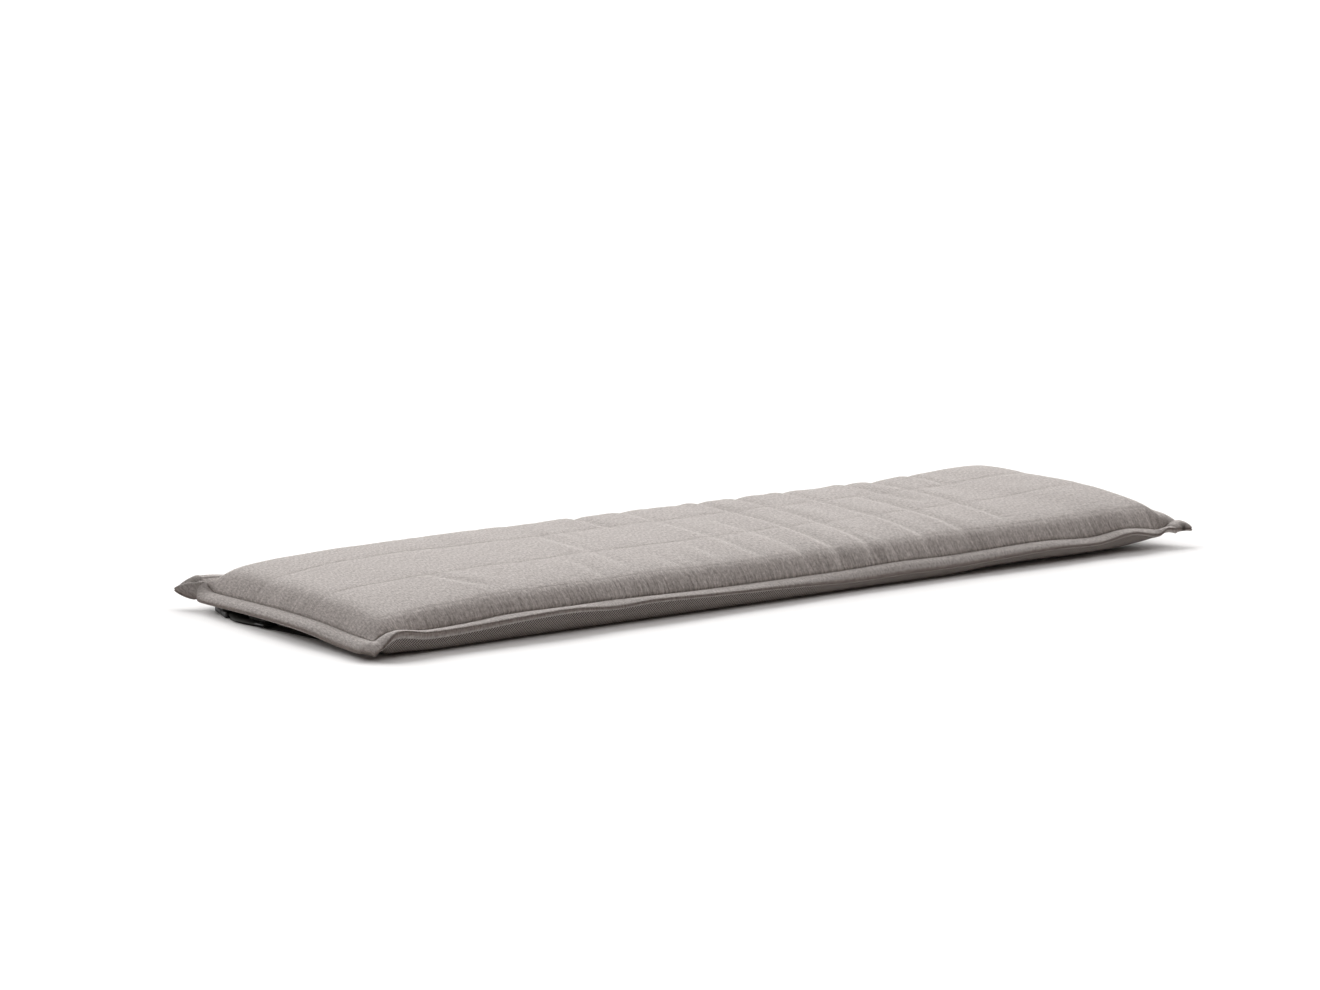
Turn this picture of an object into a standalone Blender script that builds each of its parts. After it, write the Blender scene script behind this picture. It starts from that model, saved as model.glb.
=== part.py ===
"""Bench cushion with a flat stitched border, channel quilting and two fixing straps.

X runs along the length, Y from the front edge to the back, Z up from the surface that it
lies on. The origin is on that surface, under the middle of the cushion.
"""

import math
from collections import namedtuple

import bmesh
import bpy
from mathutils import Matrix, Vector
from mathutils.bvhtree import BVHTree

# Driving dimensions, in metres
PANEL_LENGTH = 1.400
PANEL_WIDTH = 0.425
BORDER_WIDTH = 0.025
CROWN_HEIGHT = 0.0712
WEBBING_WIDTH = 0.025
WEBBING_THICKNESS = 0.0015
BUCKLE_LENGTH = 0.060
BUCKLE_WIDTH = 0.033
BUCKLE_THICKNESS = 0.0075
CLEARANCE = 0.0003

HALF_LENGTH = PANEL_LENGTH / 2
HALF_WIDTH = PANEL_WIDTH / 2

# The four edges. A row is a section across the border: where it stands along the edge, the
# height of the stitched seam, the height of the outer rim, and how deep the lower layer of
# the border hangs under that rim.
EdgeSection = namedtuple("EdgeSection", "at seam rim lip")
FRONT_EDGE = (
    EdgeSection(at=-0.700, seam=0.0205, rim=0.0160, lip=0.0040),
    EdgeSection(at=-0.677, seam=0.0290, rim=0.0330, lip=0.0080),
    EdgeSection(at=-0.630, seam=0.0254, rim=0.0278, lip=0.0085),
    EdgeSection(at=-0.560, seam=0.0272, rim=0.0278, lip=0.0075),
    EdgeSection(at=-0.490, seam=0.0318, rim=0.0304, lip=0.0062),
    EdgeSection(at=-0.400, seam=0.0308, rim=0.0320, lip=0.0052),
    EdgeSection(at=-0.330, seam=0.0317, rim=0.0270, lip=0.0045),
    EdgeSection(at=-0.270, seam=0.0301, rim=0.0290, lip=0.0042),
    EdgeSection(at=-0.180, seam=0.0283, rim=0.0258, lip=0.0038),
    EdgeSection(at=-0.020, seam=0.0275, rim=0.0204, lip=0.0035),
    EdgeSection(at=0.080, seam=0.0275, rim=0.0160, lip=0.0035),
    EdgeSection(at=0.175, seam=0.0294, rim=0.0163, lip=0.0035),
    EdgeSection(at=0.270, seam=0.0279, rim=0.0164, lip=0.0035),
    EdgeSection(at=0.450, seam=0.0302, rim=0.0222, lip=0.0035),
    EdgeSection(at=0.545, seam=0.0257, rim=0.0206, lip=0.0035),
    EdgeSection(at=0.612, seam=0.0311, rim=0.0288, lip=0.0040),
    EdgeSection(at=0.664, seam=0.0260, rim=0.0210, lip=0.0040),
    EdgeSection(at=0.682, seam=0.0208, rim=0.0280, lip=0.0040),
    EdgeSection(at=0.700, seam=0.0262, rim=0.0262, lip=0.0075),
)
BACK_EDGE = (
    EdgeSection(at=-0.700, seam=0.0330, rim=0.0385, lip=0.0035),
    EdgeSection(at=-0.680, seam=0.0325, rim=0.0378, lip=0.0035),
    EdgeSection(at=-0.630, seam=0.0320, rim=0.0310, lip=0.0035),
    EdgeSection(at=-0.520, seam=0.0305, rim=0.0250, lip=0.0040),
    EdgeSection(at=-0.300, seam=0.0300, rim=0.0225, lip=0.0040),
    EdgeSection(at=-0.100, seam=0.0290, rim=0.0205, lip=0.0040),
    EdgeSection(at=0.150, seam=0.0300, rim=0.0235, lip=0.0040),
    EdgeSection(at=0.400, seam=0.0305, rim=0.0215, lip=0.0040),
    EdgeSection(at=0.600, seam=0.0345, rim=0.0290, lip=0.0035),
    EdgeSection(at=0.700, seam=0.0400, rim=0.0350, lip=0.0035),
)
LEFT_EDGE = (
    EdgeSection(at=-0.2125, seam=0.0210, rim=0.0098, lip=0.0035),
    EdgeSection(at=-0.160, seam=0.0222, rim=0.0112, lip=0.0035),
    EdgeSection(at=-0.080, seam=0.0262, rim=0.0172, lip=0.0045),
    EdgeSection(at=0.030, seam=0.0262, rim=0.0170, lip=0.0035),
    EdgeSection(at=0.120, seam=0.0241, rim=0.0146, lip=0.0030),
    EdgeSection(at=0.180, seam=0.0226, rim=0.0130, lip=0.0030),
    EdgeSection(at=0.198, seam=0.0240, rim=0.0128, lip=0.0030),
    EdgeSection(at=0.2125, seam=0.0330, rim=0.0140, lip=0.0035),
)
RIGHT_EDGE = (
    EdgeSection(at=-0.2125, seam=0.0262, rim=0.0305, lip=0.0075),
    EdgeSection(at=-0.198, seam=0.0395, rim=0.0350, lip=0.0045),
    EdgeSection(at=-0.170, seam=0.0435, rim=0.0395, lip=0.0040),
    EdgeSection(at=-0.130, seam=0.0435, rim=0.0420, lip=0.0035),
    EdgeSection(at=-0.050, seam=0.0430, rim=0.0380, lip=0.0040),
    EdgeSection(at=0.080, seam=0.0420, rim=0.0345, lip=0.0040),
    EdgeSection(at=0.2125, seam=0.0400, rim=0.0350, lip=0.0035),
)

# The pointed ears, where two borders meet: the place of each tip
EAR_TIPS = {
    (-1, -1): Vector((-0.714, -0.2415, 0.0096)),
    (-1, 1): Vector((-0.7375, 0.2385, 0.0245)),
    (1, -1): Vector((0.730, -0.2400, 0.0235)),
    (1, 1): Vector((0.7375, 0.2415, 0.0330)),
}

# How far an ear's rim arches up along its long border and along its end border, and how
# full an ear is between them
EAR_ARCHES = {
    (-1, -1): (0.0, 0.0),
    (-1, 1): (0.0030, -0.0050),
    (1, -1): (0.0010, 0.0030),
    (1, 1): (0.0, 0.0),
}
EAR_FULLNESS = 0.0030

# How the filled panel rises from each seam: a quick share over the near distance, and the
# rest over the far one
Shoulder = namedtuple("Shoulder", "quick near far")
FRONT_SHOULDER = Shoulder(quick=0.52, near=0.0150, far=0.065)
BACK_SHOULDER = Shoulder(quick=0.90, near=0.0170, far=0.040)
LEFT_SHOULDER = Shoulder(quick=0.58, near=0.0160, far=0.095)
RIGHT_SHOULDER = Shoulder(quick=0.80, near=0.0110, far=0.045)

# Sewn channels along the length, by their Y at the left end, the middle and the right end
QuiltLine = namedtuple("QuiltLine", "left middle right depth")
QUILT_LINES = (
    QuiltLine(left=-0.187, middle=-0.187, right=-0.186, depth=0.0008),
    QuiltLine(left=-0.057, middle=-0.063, right=-0.052, depth=0.0015),
    QuiltLine(left=0.084, middle=0.079, right=0.074, depth=0.0017),
)
CHANNEL_WIDTH = 0.013
CHANNEL_ROWS = 0.009

# Folds across the width, left by storing the cushion folded: narrow valleys between soft
# swells. front and back are a fold's X on the two long seams; it runs over the given shares
# of the width, 0 at the front.
Fold = namedtuple("Fold", "front back start end depth")
FOLDS = (
    Fold(front=-0.468, back=-0.612, start=0.10, end=0.42, depth=0.0043),
    Fold(front=-0.314, back=-0.296, start=0.02, end=0.32, depth=0.0024),
    Fold(front=-0.258, back=-0.236, start=0.10, end=0.80, depth=0.0024),
    Fold(front=-0.142, back=-0.110, start=0.60, end=1.00, depth=0.0059),
    Fold(front=-0.050, back=-0.028, start=0.05, end=1.00, depth=0.0028),
    Fold(front=0.020, back=0.042, start=0.00, end=0.60, depth=0.0024),
    Fold(front=0.078, back=0.116, start=0.00, end=1.00, depth=0.0059),
    Fold(front=0.138, back=0.188, start=0.00, end=1.00, depth=0.0053),
    Fold(front=0.243, back=0.277, start=0.00, end=1.00, depth=0.0050),
    Fold(front=0.318, back=0.350, start=0.00, end=0.70, depth=0.0048),
    Fold(front=0.372, back=0.397, start=0.42, end=1.00, depth=0.0050),
    Fold(front=0.412, back=0.452, start=0.08, end=1.00, depth=0.0050),
    Fold(front=0.492, back=0.526, start=0.62, end=1.00, depth=0.0039),
)
FOLD_LEFT = 0.0085
FOLD_RIGHT = 0.0150
FOLD_POINT = 1.6
SWELL_WIDTH = 0.026
SWELL_SHARE = 0.40
FOLD_FADE = 0.10
HELD_BY_THREAD = 0.35
HELD_WITHIN = 0.012

# The right end curls up: how far its top lifts, and the height of the underside there along
# the front seam and the back one. The left end stands on its strap.
TOP_CURL_START = 0.46
TOP_CURL_RUN = 0.22
TOP_CURL = 0.009
LiftSection = namedtuple("LiftSection", "at front back")
UNDERSIDE_LIFT = (
    LiftSection(at=-0.700, front=0.0024, back=0.0024),
    LiftSection(at=-0.655, front=0.0024, back=0.0024),
    LiftSection(at=-0.610, front=0.0, back=0.0),
    LiftSection(at=-0.560, front=0.0, back=0.0),
    LiftSection(at=0.200, front=0.0, back=0.0),
    LiftSection(at=0.260, front=0.0, back=0.0),
    LiftSection(at=0.340, front=0.0046, back=0.0),
    LiftSection(at=0.430, front=0.0054, back=0.0),
    LiftSection(at=0.500, front=0.0046, back=0.0060),
    LiftSection(at=0.560, front=0.0052, back=0.0115),
    LiftSection(at=0.610, front=0.0068, back=0.0155),
    LiftSection(at=0.665, front=0.0128, back=0.0215),
    LiftSection(at=0.700, front=0.0190, back=0.0260),
)

# The underside between the stitched seam and the surface that it lies on
FRONT_WALL = 0.008
BACK_WALL = 0.012
RIGHT_WALL = 0.016
LEFT_WALL_AT_FRONT = 0.022
LEFT_WALL_AT_BACK = 0.075

# How far the filled underside bulges out under the long borders: 0 where a border stands
# free, 1 where it lies against the bulge
Bulge = namedtuple("Bulge", "at front back")
UNDERSIDE_BULGE = (
    Bulge(at=-0.700, front=1.0, back=0.0),
    Bulge(at=-0.630, front=1.0, back=0.0),
    Bulge(at=-0.560, front=1.0, back=1.0),
    Bulge(at=0.600, front=1.0, back=1.0),
    Bulge(at=0.660, front=0.9, back=0.6),
    Bulge(at=0.700, front=0.0, back=0.0),
)

# Shares of the border's width that carry a row of points, from the seam to the rim. The
# upper layer rolls over to the rim; the lower one hangs deepest at the share before it.
BORDER_ROWS = (0.45, 0.88, 1.0)
DEEPEST_AT = BORDER_ROWS[-2]
SEAM_THICKNESS = 0.0026
BAND_FULLNESS = 0.0010
ROLL_POWER = 2.4
LEAST_ROLL = 0.0042
LOWEST_BORDER = 0.0008

# The net of points: distances from a seam that carry a row of them on the shoulder, and from
# a fold's course that carry a column, how far the lines across the cushion lean with the
# folds, and the widest and closest spacings
SHOULDER_ROWS = (0.0, 0.003, 0.008, 0.016)
FOLD_COLUMNS = (-0.009, 0.0, 0.011, 0.024)
LINE_LEAN = 0.034
LEAN_FADE = 0.25
COLUMN_SPACING = 0.030
ROW_SPACING = 0.034
CLOSEST_SPACING = 0.0045
FLAT_ENOUGH = math.radians(0.4)

# The straps. Each is sewn on at both ends under the cushion and closed by a buckle: the long
# strap runs from the front over a slider to the plug, the short one from the back to the
# socket. A strap's rows give the middle of its webbing in plan, from the front to the back.
StrapPoint = namedtuple("StrapPoint", "x y")
Strap = namedtuple("Strap", "side front back buckle turn back_patch")
STRAPS = (
    Strap(
        side="left",
        front=(
            StrapPoint(x=-0.6720, y=-0.192),
            StrapPoint(x=-0.6770, y=-0.150),
            StrapPoint(x=-0.6848, y=-0.090),
            StrapPoint(x=-0.6918, y=-0.034),
            StrapPoint(x=-0.6990, y=0.010),
            StrapPoint(x=-0.7072, y=0.052),
            StrapPoint(x=-0.7142, y=0.088),
        ),
        back=(StrapPoint(x=-0.6850, y=0.206),),
        buckle=StrapPoint(x=-0.6986, y=0.148),
        turn=0.281,
        back_patch=0.010,
    ),
    Strap(
        side="right",
        front=(
            StrapPoint(x=0.5950, y=-0.2065),
            StrapPoint(x=0.5960, y=-0.120),
            StrapPoint(x=0.5945, y=-0.030),
            StrapPoint(x=0.5950, y=0.040),
        ),
        back=(
            StrapPoint(x=0.5955, y=0.165),
            StrapPoint(x=0.5955, y=0.202),
        ),
        buckle=StrapPoint(x=0.5950, y=0.110),
        turn=0.0,
        back_patch=0.026,
    ),
)
FRONT_PATCH = 0.030
PATCH_EASE = 0.022
SLIDER_BEFORE_BAR = 0.083
SLIDER_LANDING = 0.0062
LAP_LENGTH = 0.010
LOOP_ROOM = 0.006

# The buckles and sliders. A bar is what the webbing turns round.
BUCKLE_BAR_RADIUS = 0.0015
BUCKLE_BAR_REACH = 0.027
FORK_WIDTH = 0.0264
SOCKET_MOUTH = -0.006
SOCKET_WEB = (0.016, 0.019)
CAVITY_WIDTH = 0.026
CAVITY_HEIGHT = 0.0043
WINDOW = (0.0, 0.011)
TONGUE_WIDTH = 0.007
PRONG_WIDTH = 0.004
LUG_STEP = 0.0002
SLIDER_BAR_RADIUS = 0.0013
SLIDER_SIZE = (0.032, 0.020, 0.0020)
SLIDER_OPENING = 0.014

# The heights of the webbing's middle: on the surface, one layer up, and round the bars
WEBBING_FLOOR = CLEARANCE + WEBBING_THICKNESS / 2
LAYER = WEBBING_THICKNESS + CLEARANCE
BUCKLE_LOOP = BUCKLE_BAR_RADIUS + CLEARANCE + WEBBING_THICKNESS / 2
BUCKLE_BAR_HEIGHT = WEBBING_FLOOR + BUCKLE_LOOP
SLIDER_WRAP = SLIDER_BAR_RADIUS + CLEARANCE + WEBBING_THICKNESS / 2
SLIDER_BAR_HEIGHT = WEBBING_FLOOR + SLIDER_WRAP
SLIDER_BASE = 3 * CLEARANCE + 2 * WEBBING_THICKNESS
SEWN_DROP = CLEARANCE + 0.8 * WEBBING_THICKNESS
BUCKLE_MIDDLE = CLEARANCE + BUCKLE_THICKNESS / 2


def clamp(value):
    return min(1.0, max(0.0, value))


def smooth(value):
    """An even S-shaped step from 0 to 1."""
    value = clamp(value)
    return value * value * (3 - 2 * value)


def mix(first, second, share):
    return first + (second - first) * share


def along(rows, place, column):
    """The column's value at this place, on a smooth curve through the rows."""
    places = [row.at for row in rows]
    values = [getattr(row, column) for row in rows]
    if place <= places[0]:
        return values[0]
    if place >= places[-1]:
        return values[-1]
    after = next(k for k, at in enumerate(places) if at > place)
    before = after - 1

    def slope(k):
        low, high = max(k - 1, 0), min(k + 1, len(rows) - 1)
        return (values[high] - values[low]) / (places[high] - places[low])

    span = places[after] - places[before]
    t = (place - places[before]) / span
    return (
        values[before] * (2 * t**3 - 3 * t**2 + 1)
        + slope(before) * span * (t**3 - 2 * t**2 + t)
        + values[after] * (3 * t**2 - 2 * t**3)
        + slope(after) * span * (t**3 - t**2)
    )


def edges_near(x, y):
    """Each edge's rows, the place along it and the distance in from it."""
    return (
        (FRONT_EDGE, x, y + HALF_WIDTH),
        (BACK_EDGE, x, HALF_WIDTH - y),
        (LEFT_EDGE, y, x + HALF_LENGTH),
        (RIGHT_EDGE, y, HALF_LENGTH - x),
    )


def seam_height(x, y):
    """The height of the seams around the panel, carried in from the nearest ones."""
    total, weights = 0.0, 0.0
    for rows, place, distance in edges_near(x, y):
        weight = 1 / (max(distance, 0.0) + 0.0005) ** 2
        total += weight * along(rows, place, "seam")
        weights += weight
    return total / weights


def rise(shoulder, distance):
    near = shoulder.quick * math.tanh(distance / shoulder.near)
    far = (1 - shoulder.quick) * (1 - math.exp(-distance / shoulder.far))
    return near + far


def fullness(x, y):
    """0 on the seams, 1 where the panel has its full height."""
    return (
        rise(FRONT_SHOULDER, y + HALF_WIDTH)
        * rise(BACK_SHOULDER, HALF_WIDTH - y)
        * rise(LEFT_SHOULDER, x + HALF_LENGTH)
        * rise(RIGHT_SHOULDER, HALF_LENGTH - x)
    )


def quilt_line_y(line, x):
    """The line's Y: a parabola through its three places."""
    share = x / HALF_LENGTH
    tilt = (line.right - line.left) / 2
    bow = (line.right + line.left) / 2 - line.middle
    return line.middle + tilt * share + bow * share * share


def quilting(x, y):
    """The sewn channels pull the panel down in narrow valleys."""
    return -sum(
        line.depth * math.exp(-abs(y - quilt_line_y(line, x)) / CHANNEL_WIDTH)
        for line in QUILT_LINES
    )


def held_by_threads(x, y):
    """1 between the sewn channels, less on them: the threads hold the folds down."""
    nearest = min(abs(y - quilt_line_y(line, x)) for line in QUILT_LINES)
    return 1 - HELD_BY_THREAD * math.exp(-((nearest / HELD_WITHIN) ** 2))


def folding(x, y):
    """Each fold is a narrow valley, steeper on its left, with a soft swell on both sides."""
    share = (y + HALF_WIDTH) / PANEL_WIDTH
    height = 0.0
    for fold in FOLDS:
        offset = x - mix(fold.front, fold.back, share)
        if abs(offset) > 3 * SWELL_WIDTH:
            continue
        strength = fold.depth
        if fold.start > 0:
            strength *= smooth((share - fold.start) / FOLD_FADE)
        if fold.end < 1:
            strength *= smooth((fold.end - share) / FOLD_FADE)
        width = FOLD_RIGHT if offset > 0 else FOLD_LEFT
        valley = math.exp(-((abs(offset) / width) ** FOLD_POINT))
        swell = SWELL_SHARE * math.exp(-((offset / SWELL_WIDTH) ** 2))
        height += strength * (swell - valley)
    return height * held_by_threads(x, y)


def panel_top(x, y):
    share = (y + HALF_WIDTH) / PANEL_WIDTH
    plateau = CROWN_HEIGHT + quilting(x, y) + folding(x, y)
    plateau += TOP_CURL * smooth((x - TOP_CURL_START) / TOP_CURL_RUN) * smooth(2.5 * share)
    return mix(seam_height(x, y), plateau, fullness(x, y))


def wall_share(distance, width):
    """0 at the stitched seam, 1 where the underside has come down."""
    return 1 - (1 - clamp(distance / width)) ** 2


def underside(x, y):
    share = (y + HALF_WIDTH) / PANEL_WIDTH
    front = along(UNDERSIDE_LIFT, x, "front")
    level = max(0.0, mix(front, along(UNDERSIDE_LIFT, x, "back"), clamp(share)))
    left_wall = mix(LEFT_WALL_AT_FRONT, LEFT_WALL_AT_BACK, clamp(share))
    down = (
        mix(wall_share(y + HALF_WIDTH, FRONT_WALL), 1, bulge(x, "front"))
        * mix(wall_share(HALF_WIDTH - y, BACK_WALL), 1, bulge(x, "back"))
        * wall_share(x + HALF_LENGTH, left_wall)
        * wall_share(HALF_LENGTH - x, RIGHT_WALL)
    )
    return mix(seam_height(x, y) - SEAM_THICKNESS, level, down)


def bulge(x, side):
    """How far the underside bulges out under the front or the back border."""
    return clamp(along(UNDERSIDE_BULGE, x, side))


def leaned(x, y):
    """Columns of points lean with the folds, away from the ends."""
    share = clamp((y + HALF_WIDTH) / PANEL_WIDTH)
    return x + LINE_LEAN * share * smooth((HALF_LENGTH - abs(x)) / LEAN_FADE)


def rim_reach(drop):
    """How far the rim stands out in plan once the border droops by this much."""
    return math.sqrt(BORDER_WIDTH**2 - min(abs(drop), 0.8 * BORDER_WIDTH) ** 2)


def long_rim(x, side):
    rows = FRONT_EDGE if side < 0 else BACK_EDGE
    seam, rim = along(rows, x, "seam"), along(rows, x, "rim")
    return Vector((x, side * (HALF_WIDTH + rim_reach(seam - rim)), rim))


def short_rim(y, side):
    rows = LEFT_EDGE if side < 0 else RIGHT_EDGE
    seam, rim = along(rows, y, "seam"), along(rows, y, "rim")
    return Vector((side * (HALF_LENGTH + rim_reach(seam - rim)), y, rim))


def blunt(out):
    """An arch over the border's width that is still high close to the rim."""
    return math.sqrt(max(0.0, 4 * out * (1 - out)))


def border_middle(x, y, out_x, out_y):
    """A point halfway through the border, out_x and out_y being shares of its width."""
    side_x, side_y = math.copysign(1, x), math.copysign(1, y)
    inner = Vector((x, y, seam_height(x, y)))
    if out_x == 0:
        return mix(inner, long_rim(x, side_y), out_y)
    if out_y == 0:
        return mix(inner, short_rim(y, side_x), out_x)
    near = mix(inner, short_rim(y, side_x), out_x)
    far = mix(long_rim(x, side_y), EAR_TIPS[side_x, side_y], out_x)
    middle = mix(near, far, out_y)
    long_arch, end_arch = EAR_ARCHES[side_x, side_y]
    middle.z += long_arch * blunt(out_x) * out_y + end_arch * blunt(out_y) * out_x
    middle.z += EAR_FULLNESS * blunt(out_x) * blunt(out_y)
    return middle


def lip_depth(x, y, out_x, out_y):
    rows, place = (FRONT_EDGE if y < 0 else BACK_EDGE), x
    if out_x > out_y:
        rows, place = (LEFT_EDGE if x < 0 else RIGHT_EDGE), y
    return along(rows, place, "lip")


def cover_point(line_x, line_y, upper):
    """The point of the cover's upper or lower layer on this pair of grid lines."""
    out_x = clamp((abs(line_x) - HALF_LENGTH) / BORDER_WIDTH)
    out_y = clamp((abs(line_y) - HALF_WIDTH) / BORDER_WIDTH)
    y = max(-HALF_WIDTH, min(HALF_WIDTH, line_y))
    x = max(-HALF_LENGTH, min(HALF_LENGTH, leaned(line_x, y)))
    out = max(out_x, out_y)
    if out == 0:
        return panel_point(x, y, upper)
    point = border_middle(x, y, out_x, out_y)
    if upper:
        rim = border_middle(x, y, out_x / out, out_y / out)
        drop = max(seam_height(x, y) - rim.z, LEAST_ROLL)
        roll = (1 - out**ROLL_POWER) ** (1 / ROLL_POWER) - (1 - out)
        point.z += drop * roll + BAND_FULLNESS * math.sin(math.pi * out)
    elif out < 1:
        point.z = lower_border_height(point.z, x, y, out_x, out_y)
    return point


def panel_point(x, y, upper):
    return Vector((x, y, panel_top(x, y) if upper else underside(x, y)))


def lower_border_height(middle, x, y, out_x, out_y):
    """The border's lower layer hangs free, or lies on the bulge of the filled underside."""
    lip = lip_depth(x, y, out_x, out_y)
    inward = max(out_x, out_y) / DEEPEST_AT
    if inward >= 1:
        return middle - lip
    free = max(middle - mix(SEAM_THICKNESS, lip, smooth(inward)), LOWEST_BORDER)
    foot = underside(x, y)
    bulging = foot + (middle - lip - foot) * (1 - math.sqrt(1 - inward**2))
    share = bulge(x, "front" if y < 0 else "back") * (1 - smooth(out_x)) if out_y > 0 else 0
    return mix(free, bulging, share)


def thinned(places, spacing):
    """The places in order, without those nearer than spacing to the one before."""
    kept = []
    for place in sorted(places):
        if not kept or place - kept[-1] >= spacing:
            kept.append(place)
    return kept


def grid_lines(half, inner_places, spacing):
    """Lines across one direction: border, shoulder and inner lines, evenly filled in."""
    shoulder = [half - distance for distance in SHOULDER_ROWS]
    border = [half + share * BORDER_WIDTH for share in BORDER_ROWS]
    limit = half - SHOULDER_ROWS[-1] - CLOSEST_SPACING
    inner = thinned([p for p in inner_places if abs(p) < limit], CLOSEST_SPACING)
    fixed = sorted([-s for s in shoulder] + inner + shoulder)
    lines = [-b for b in reversed(border)]
    for low, high in zip(fixed, fixed[1:]):
        steps = max(1, math.ceil((high - low) / spacing - 0.25))
        lines += [mix(low, high, k / steps) for k in range(steps)]
    return lines + [fixed[-1]] + border


def fold_lines():
    """Grid lines on and beside each fold."""
    lines = []
    for fold in FOLDS:
        middle = (fold.start + fold.end) / 2
        place = mix(fold.front, fold.back, middle) - LINE_LEAN * middle
        lines += [place + step for step in FOLD_COLUMNS]
    return lines


def quilt_rows():
    """Grid lines on and beside each sewn channel."""
    return [
        line.middle + step
        for line in QUILT_LINES
        for step in (-CHANNEL_ROWS, 0.0, CHANNEL_ROWS)
    ]


def make_object(name, bm, material):
    bmesh.ops.recalc_face_normals(bm, faces=bm.faces[:])
    mesh = bpy.data.meshes.new(name)
    bm.to_mesh(mesh)
    bm.free()
    mesh.materials.append(material)
    obj = bpy.data.objects.new(name, mesh)
    bpy.context.scene.collection.objects.link(obj)
    return obj


def make_material(name, color, roughness):
    material = bpy.data.materials.new(name)
    material.use_nodes = True
    shader = material.node_tree.nodes["Principled BSDF"]
    shader.inputs["Base Color"].default_value = (*color, 1)
    shader.inputs["Roughness"].default_value = roughness
    shader.inputs["Metallic"].default_value = 0
    return material


def make_cushion(material):
    """The filled cover, one solid: two layers that share the points of the rim."""
    columns = grid_lines(HALF_LENGTH, fold_lines(), COLUMN_SPACING)
    rows = grid_lines(HALF_WIDTH, quilt_rows(), ROW_SPACING)
    bm = bmesh.new()
    last_column, last_row = len(columns) - 1, len(rows) - 1

    def layer(upper, rim=None):
        points = {}
        for i, line_x in enumerate(columns):
            for j, line_y in enumerate(rows):
                on_rim = i in (0, last_column) or j in (0, last_row)
                if rim and on_rim:
                    points[i, j] = rim[i, j]
                else:
                    points[i, j] = bm.verts.new(cover_point(line_x, line_y, upper))
        return points

    top = layer(True)
    bottom = layer(False, rim=top)
    ear_cells = {
        (0, 0): 0,
        (last_column - 1, 0): 1,
        (last_column - 1, last_row - 1): 2,
        (0, last_row - 1): 3,
    }
    lower_faces = []
    for i in range(last_column):
        for j in range(last_row):
            around = ((i, j), (i + 1, j), (i + 1, j + 1), (i, j + 1))
            if (i, j) in ear_cells:
                for half in halves(around, ear_cells[i, j]):
                    bm.faces.new([top[k] for k in half])
                    bm.faces.new([bottom[k] for k in reversed(half)])
            else:
                bm.faces.new([top[k] for k in around])
                lower_faces.append(bm.faces.new([bottom[k] for k in reversed(around)]))
    join_flat_faces(bm, lower_faces)
    obj = make_object("cushion", bm, material)
    obj.data.shade_smooth()
    return obj


def halves(around, tip):
    """A cell's two triangles on either side of the line from its tip. Cut the other way, the
    two layers of an ear would share the triangle at its tip."""
    ring = around[tip:] + around[:tip]
    return ring[:3], (ring[0], ring[2], ring[3])


def join_flat_faces(bm, faces):
    """One face where the underside lies flat, in place of many small ones."""
    lower = set(faces)
    edges = {edge for face in faces for edge in face.edges if lower >= set(edge.link_faces)}
    points = {vert for face in faces for vert in face.verts if lower >= set(vert.link_faces)}
    bmesh.ops.dissolve_limit(
        bm, angle_limit=FLAT_ENOUGH, verts=list(points), edges=list(edges)
    )


def smooth_route(corners):
    """A smooth curve through the corners in plan, as closely set points."""
    ends = [2 * corners[0] - corners[1]] + corners + [2 * corners[-1] - corners[-2]]
    route = []
    for a, b, c, d in zip(ends, ends[1:], ends[2:], ends[3:]):
        for k in range(12):
            t = k / 12
            bend = 2 * a - 5 * b + 4 * c - d
            twist = 3 * b - a - 3 * c + d
            route.append((2 * b + (c - a) * t + bend * t**2 + twist * t**3) / 2)
    return route + [corners[-1]]


def route_length(route):
    return sum((b - a).length for a, b in zip(route, route[1:]))


def place_on(route, run):
    """The point at this run along the route, and the route's direction there."""
    for a, b in zip(route, route[1:]):
        step = (b - a).length
        if run <= step or b is route[-1]:
            return a + (b - a) * (run / step), (b - a) / step
        run -= step
    return route[-1], route[-1] - route[-2]


def arc(run, height, radius, start, end):
    """A bend of the webbing, seen from its side, between two angles in degrees."""
    steps = max(3, round(abs(end - start) / 22))
    angles = [math.radians(mix(start, end, k / steps)) for k in range(steps + 1)]
    return [(run + radius * math.cos(a), height + radius * math.sin(a)) for a in angles]


def level_run(start, end, height, spacing=0.011):
    """Points along a level stretch of webbing, without its two ends."""
    steps = max(2, round(abs(end - start) / spacing))
    return [(mix(start, end, k / steps), height) for k in range(1, steps)]


def long_strap_profile(slider_run, bar_run):
    """The long strap's middle line from its side: over the slider's bar, round the plug's
    bar and back to the slider, whose bar its end is sewn round."""
    over = SLIDER_WRAP + LAYER
    upper = WEBBING_FLOOR + LAYER
    rise_from = slider_run - over - SLIDER_WRAP
    land_at = slider_run + SLIDER_LANDING
    points = [(0.0, WEBBING_FLOOR)] + level_run(0.0, rise_from, WEBBING_FLOOR)
    points += arc(rise_from, SLIDER_BAR_HEIGHT, SLIDER_WRAP, -90, 0)
    points += arc(slider_run, SLIDER_BAR_HEIGHT, over, 180, 40)[1:]
    points.append((land_at, upper))
    for run, height in level_run(land_at, bar_run, upper, 0.008):
        height += (2 * BUCKLE_LOOP - LAYER) * smooth((run - bar_run + 0.022) / 0.020)
        points.append((run, height))
    points += arc(bar_run, BUCKLE_BAR_HEIGHT, BUCKLE_LOOP, 90, -90)
    points += level_run(bar_run, slider_run, WEBBING_FLOOR, 0.008)
    return points + arc(slider_run, SLIDER_BAR_HEIGHT, SLIDER_WRAP, -90, -300)


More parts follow.
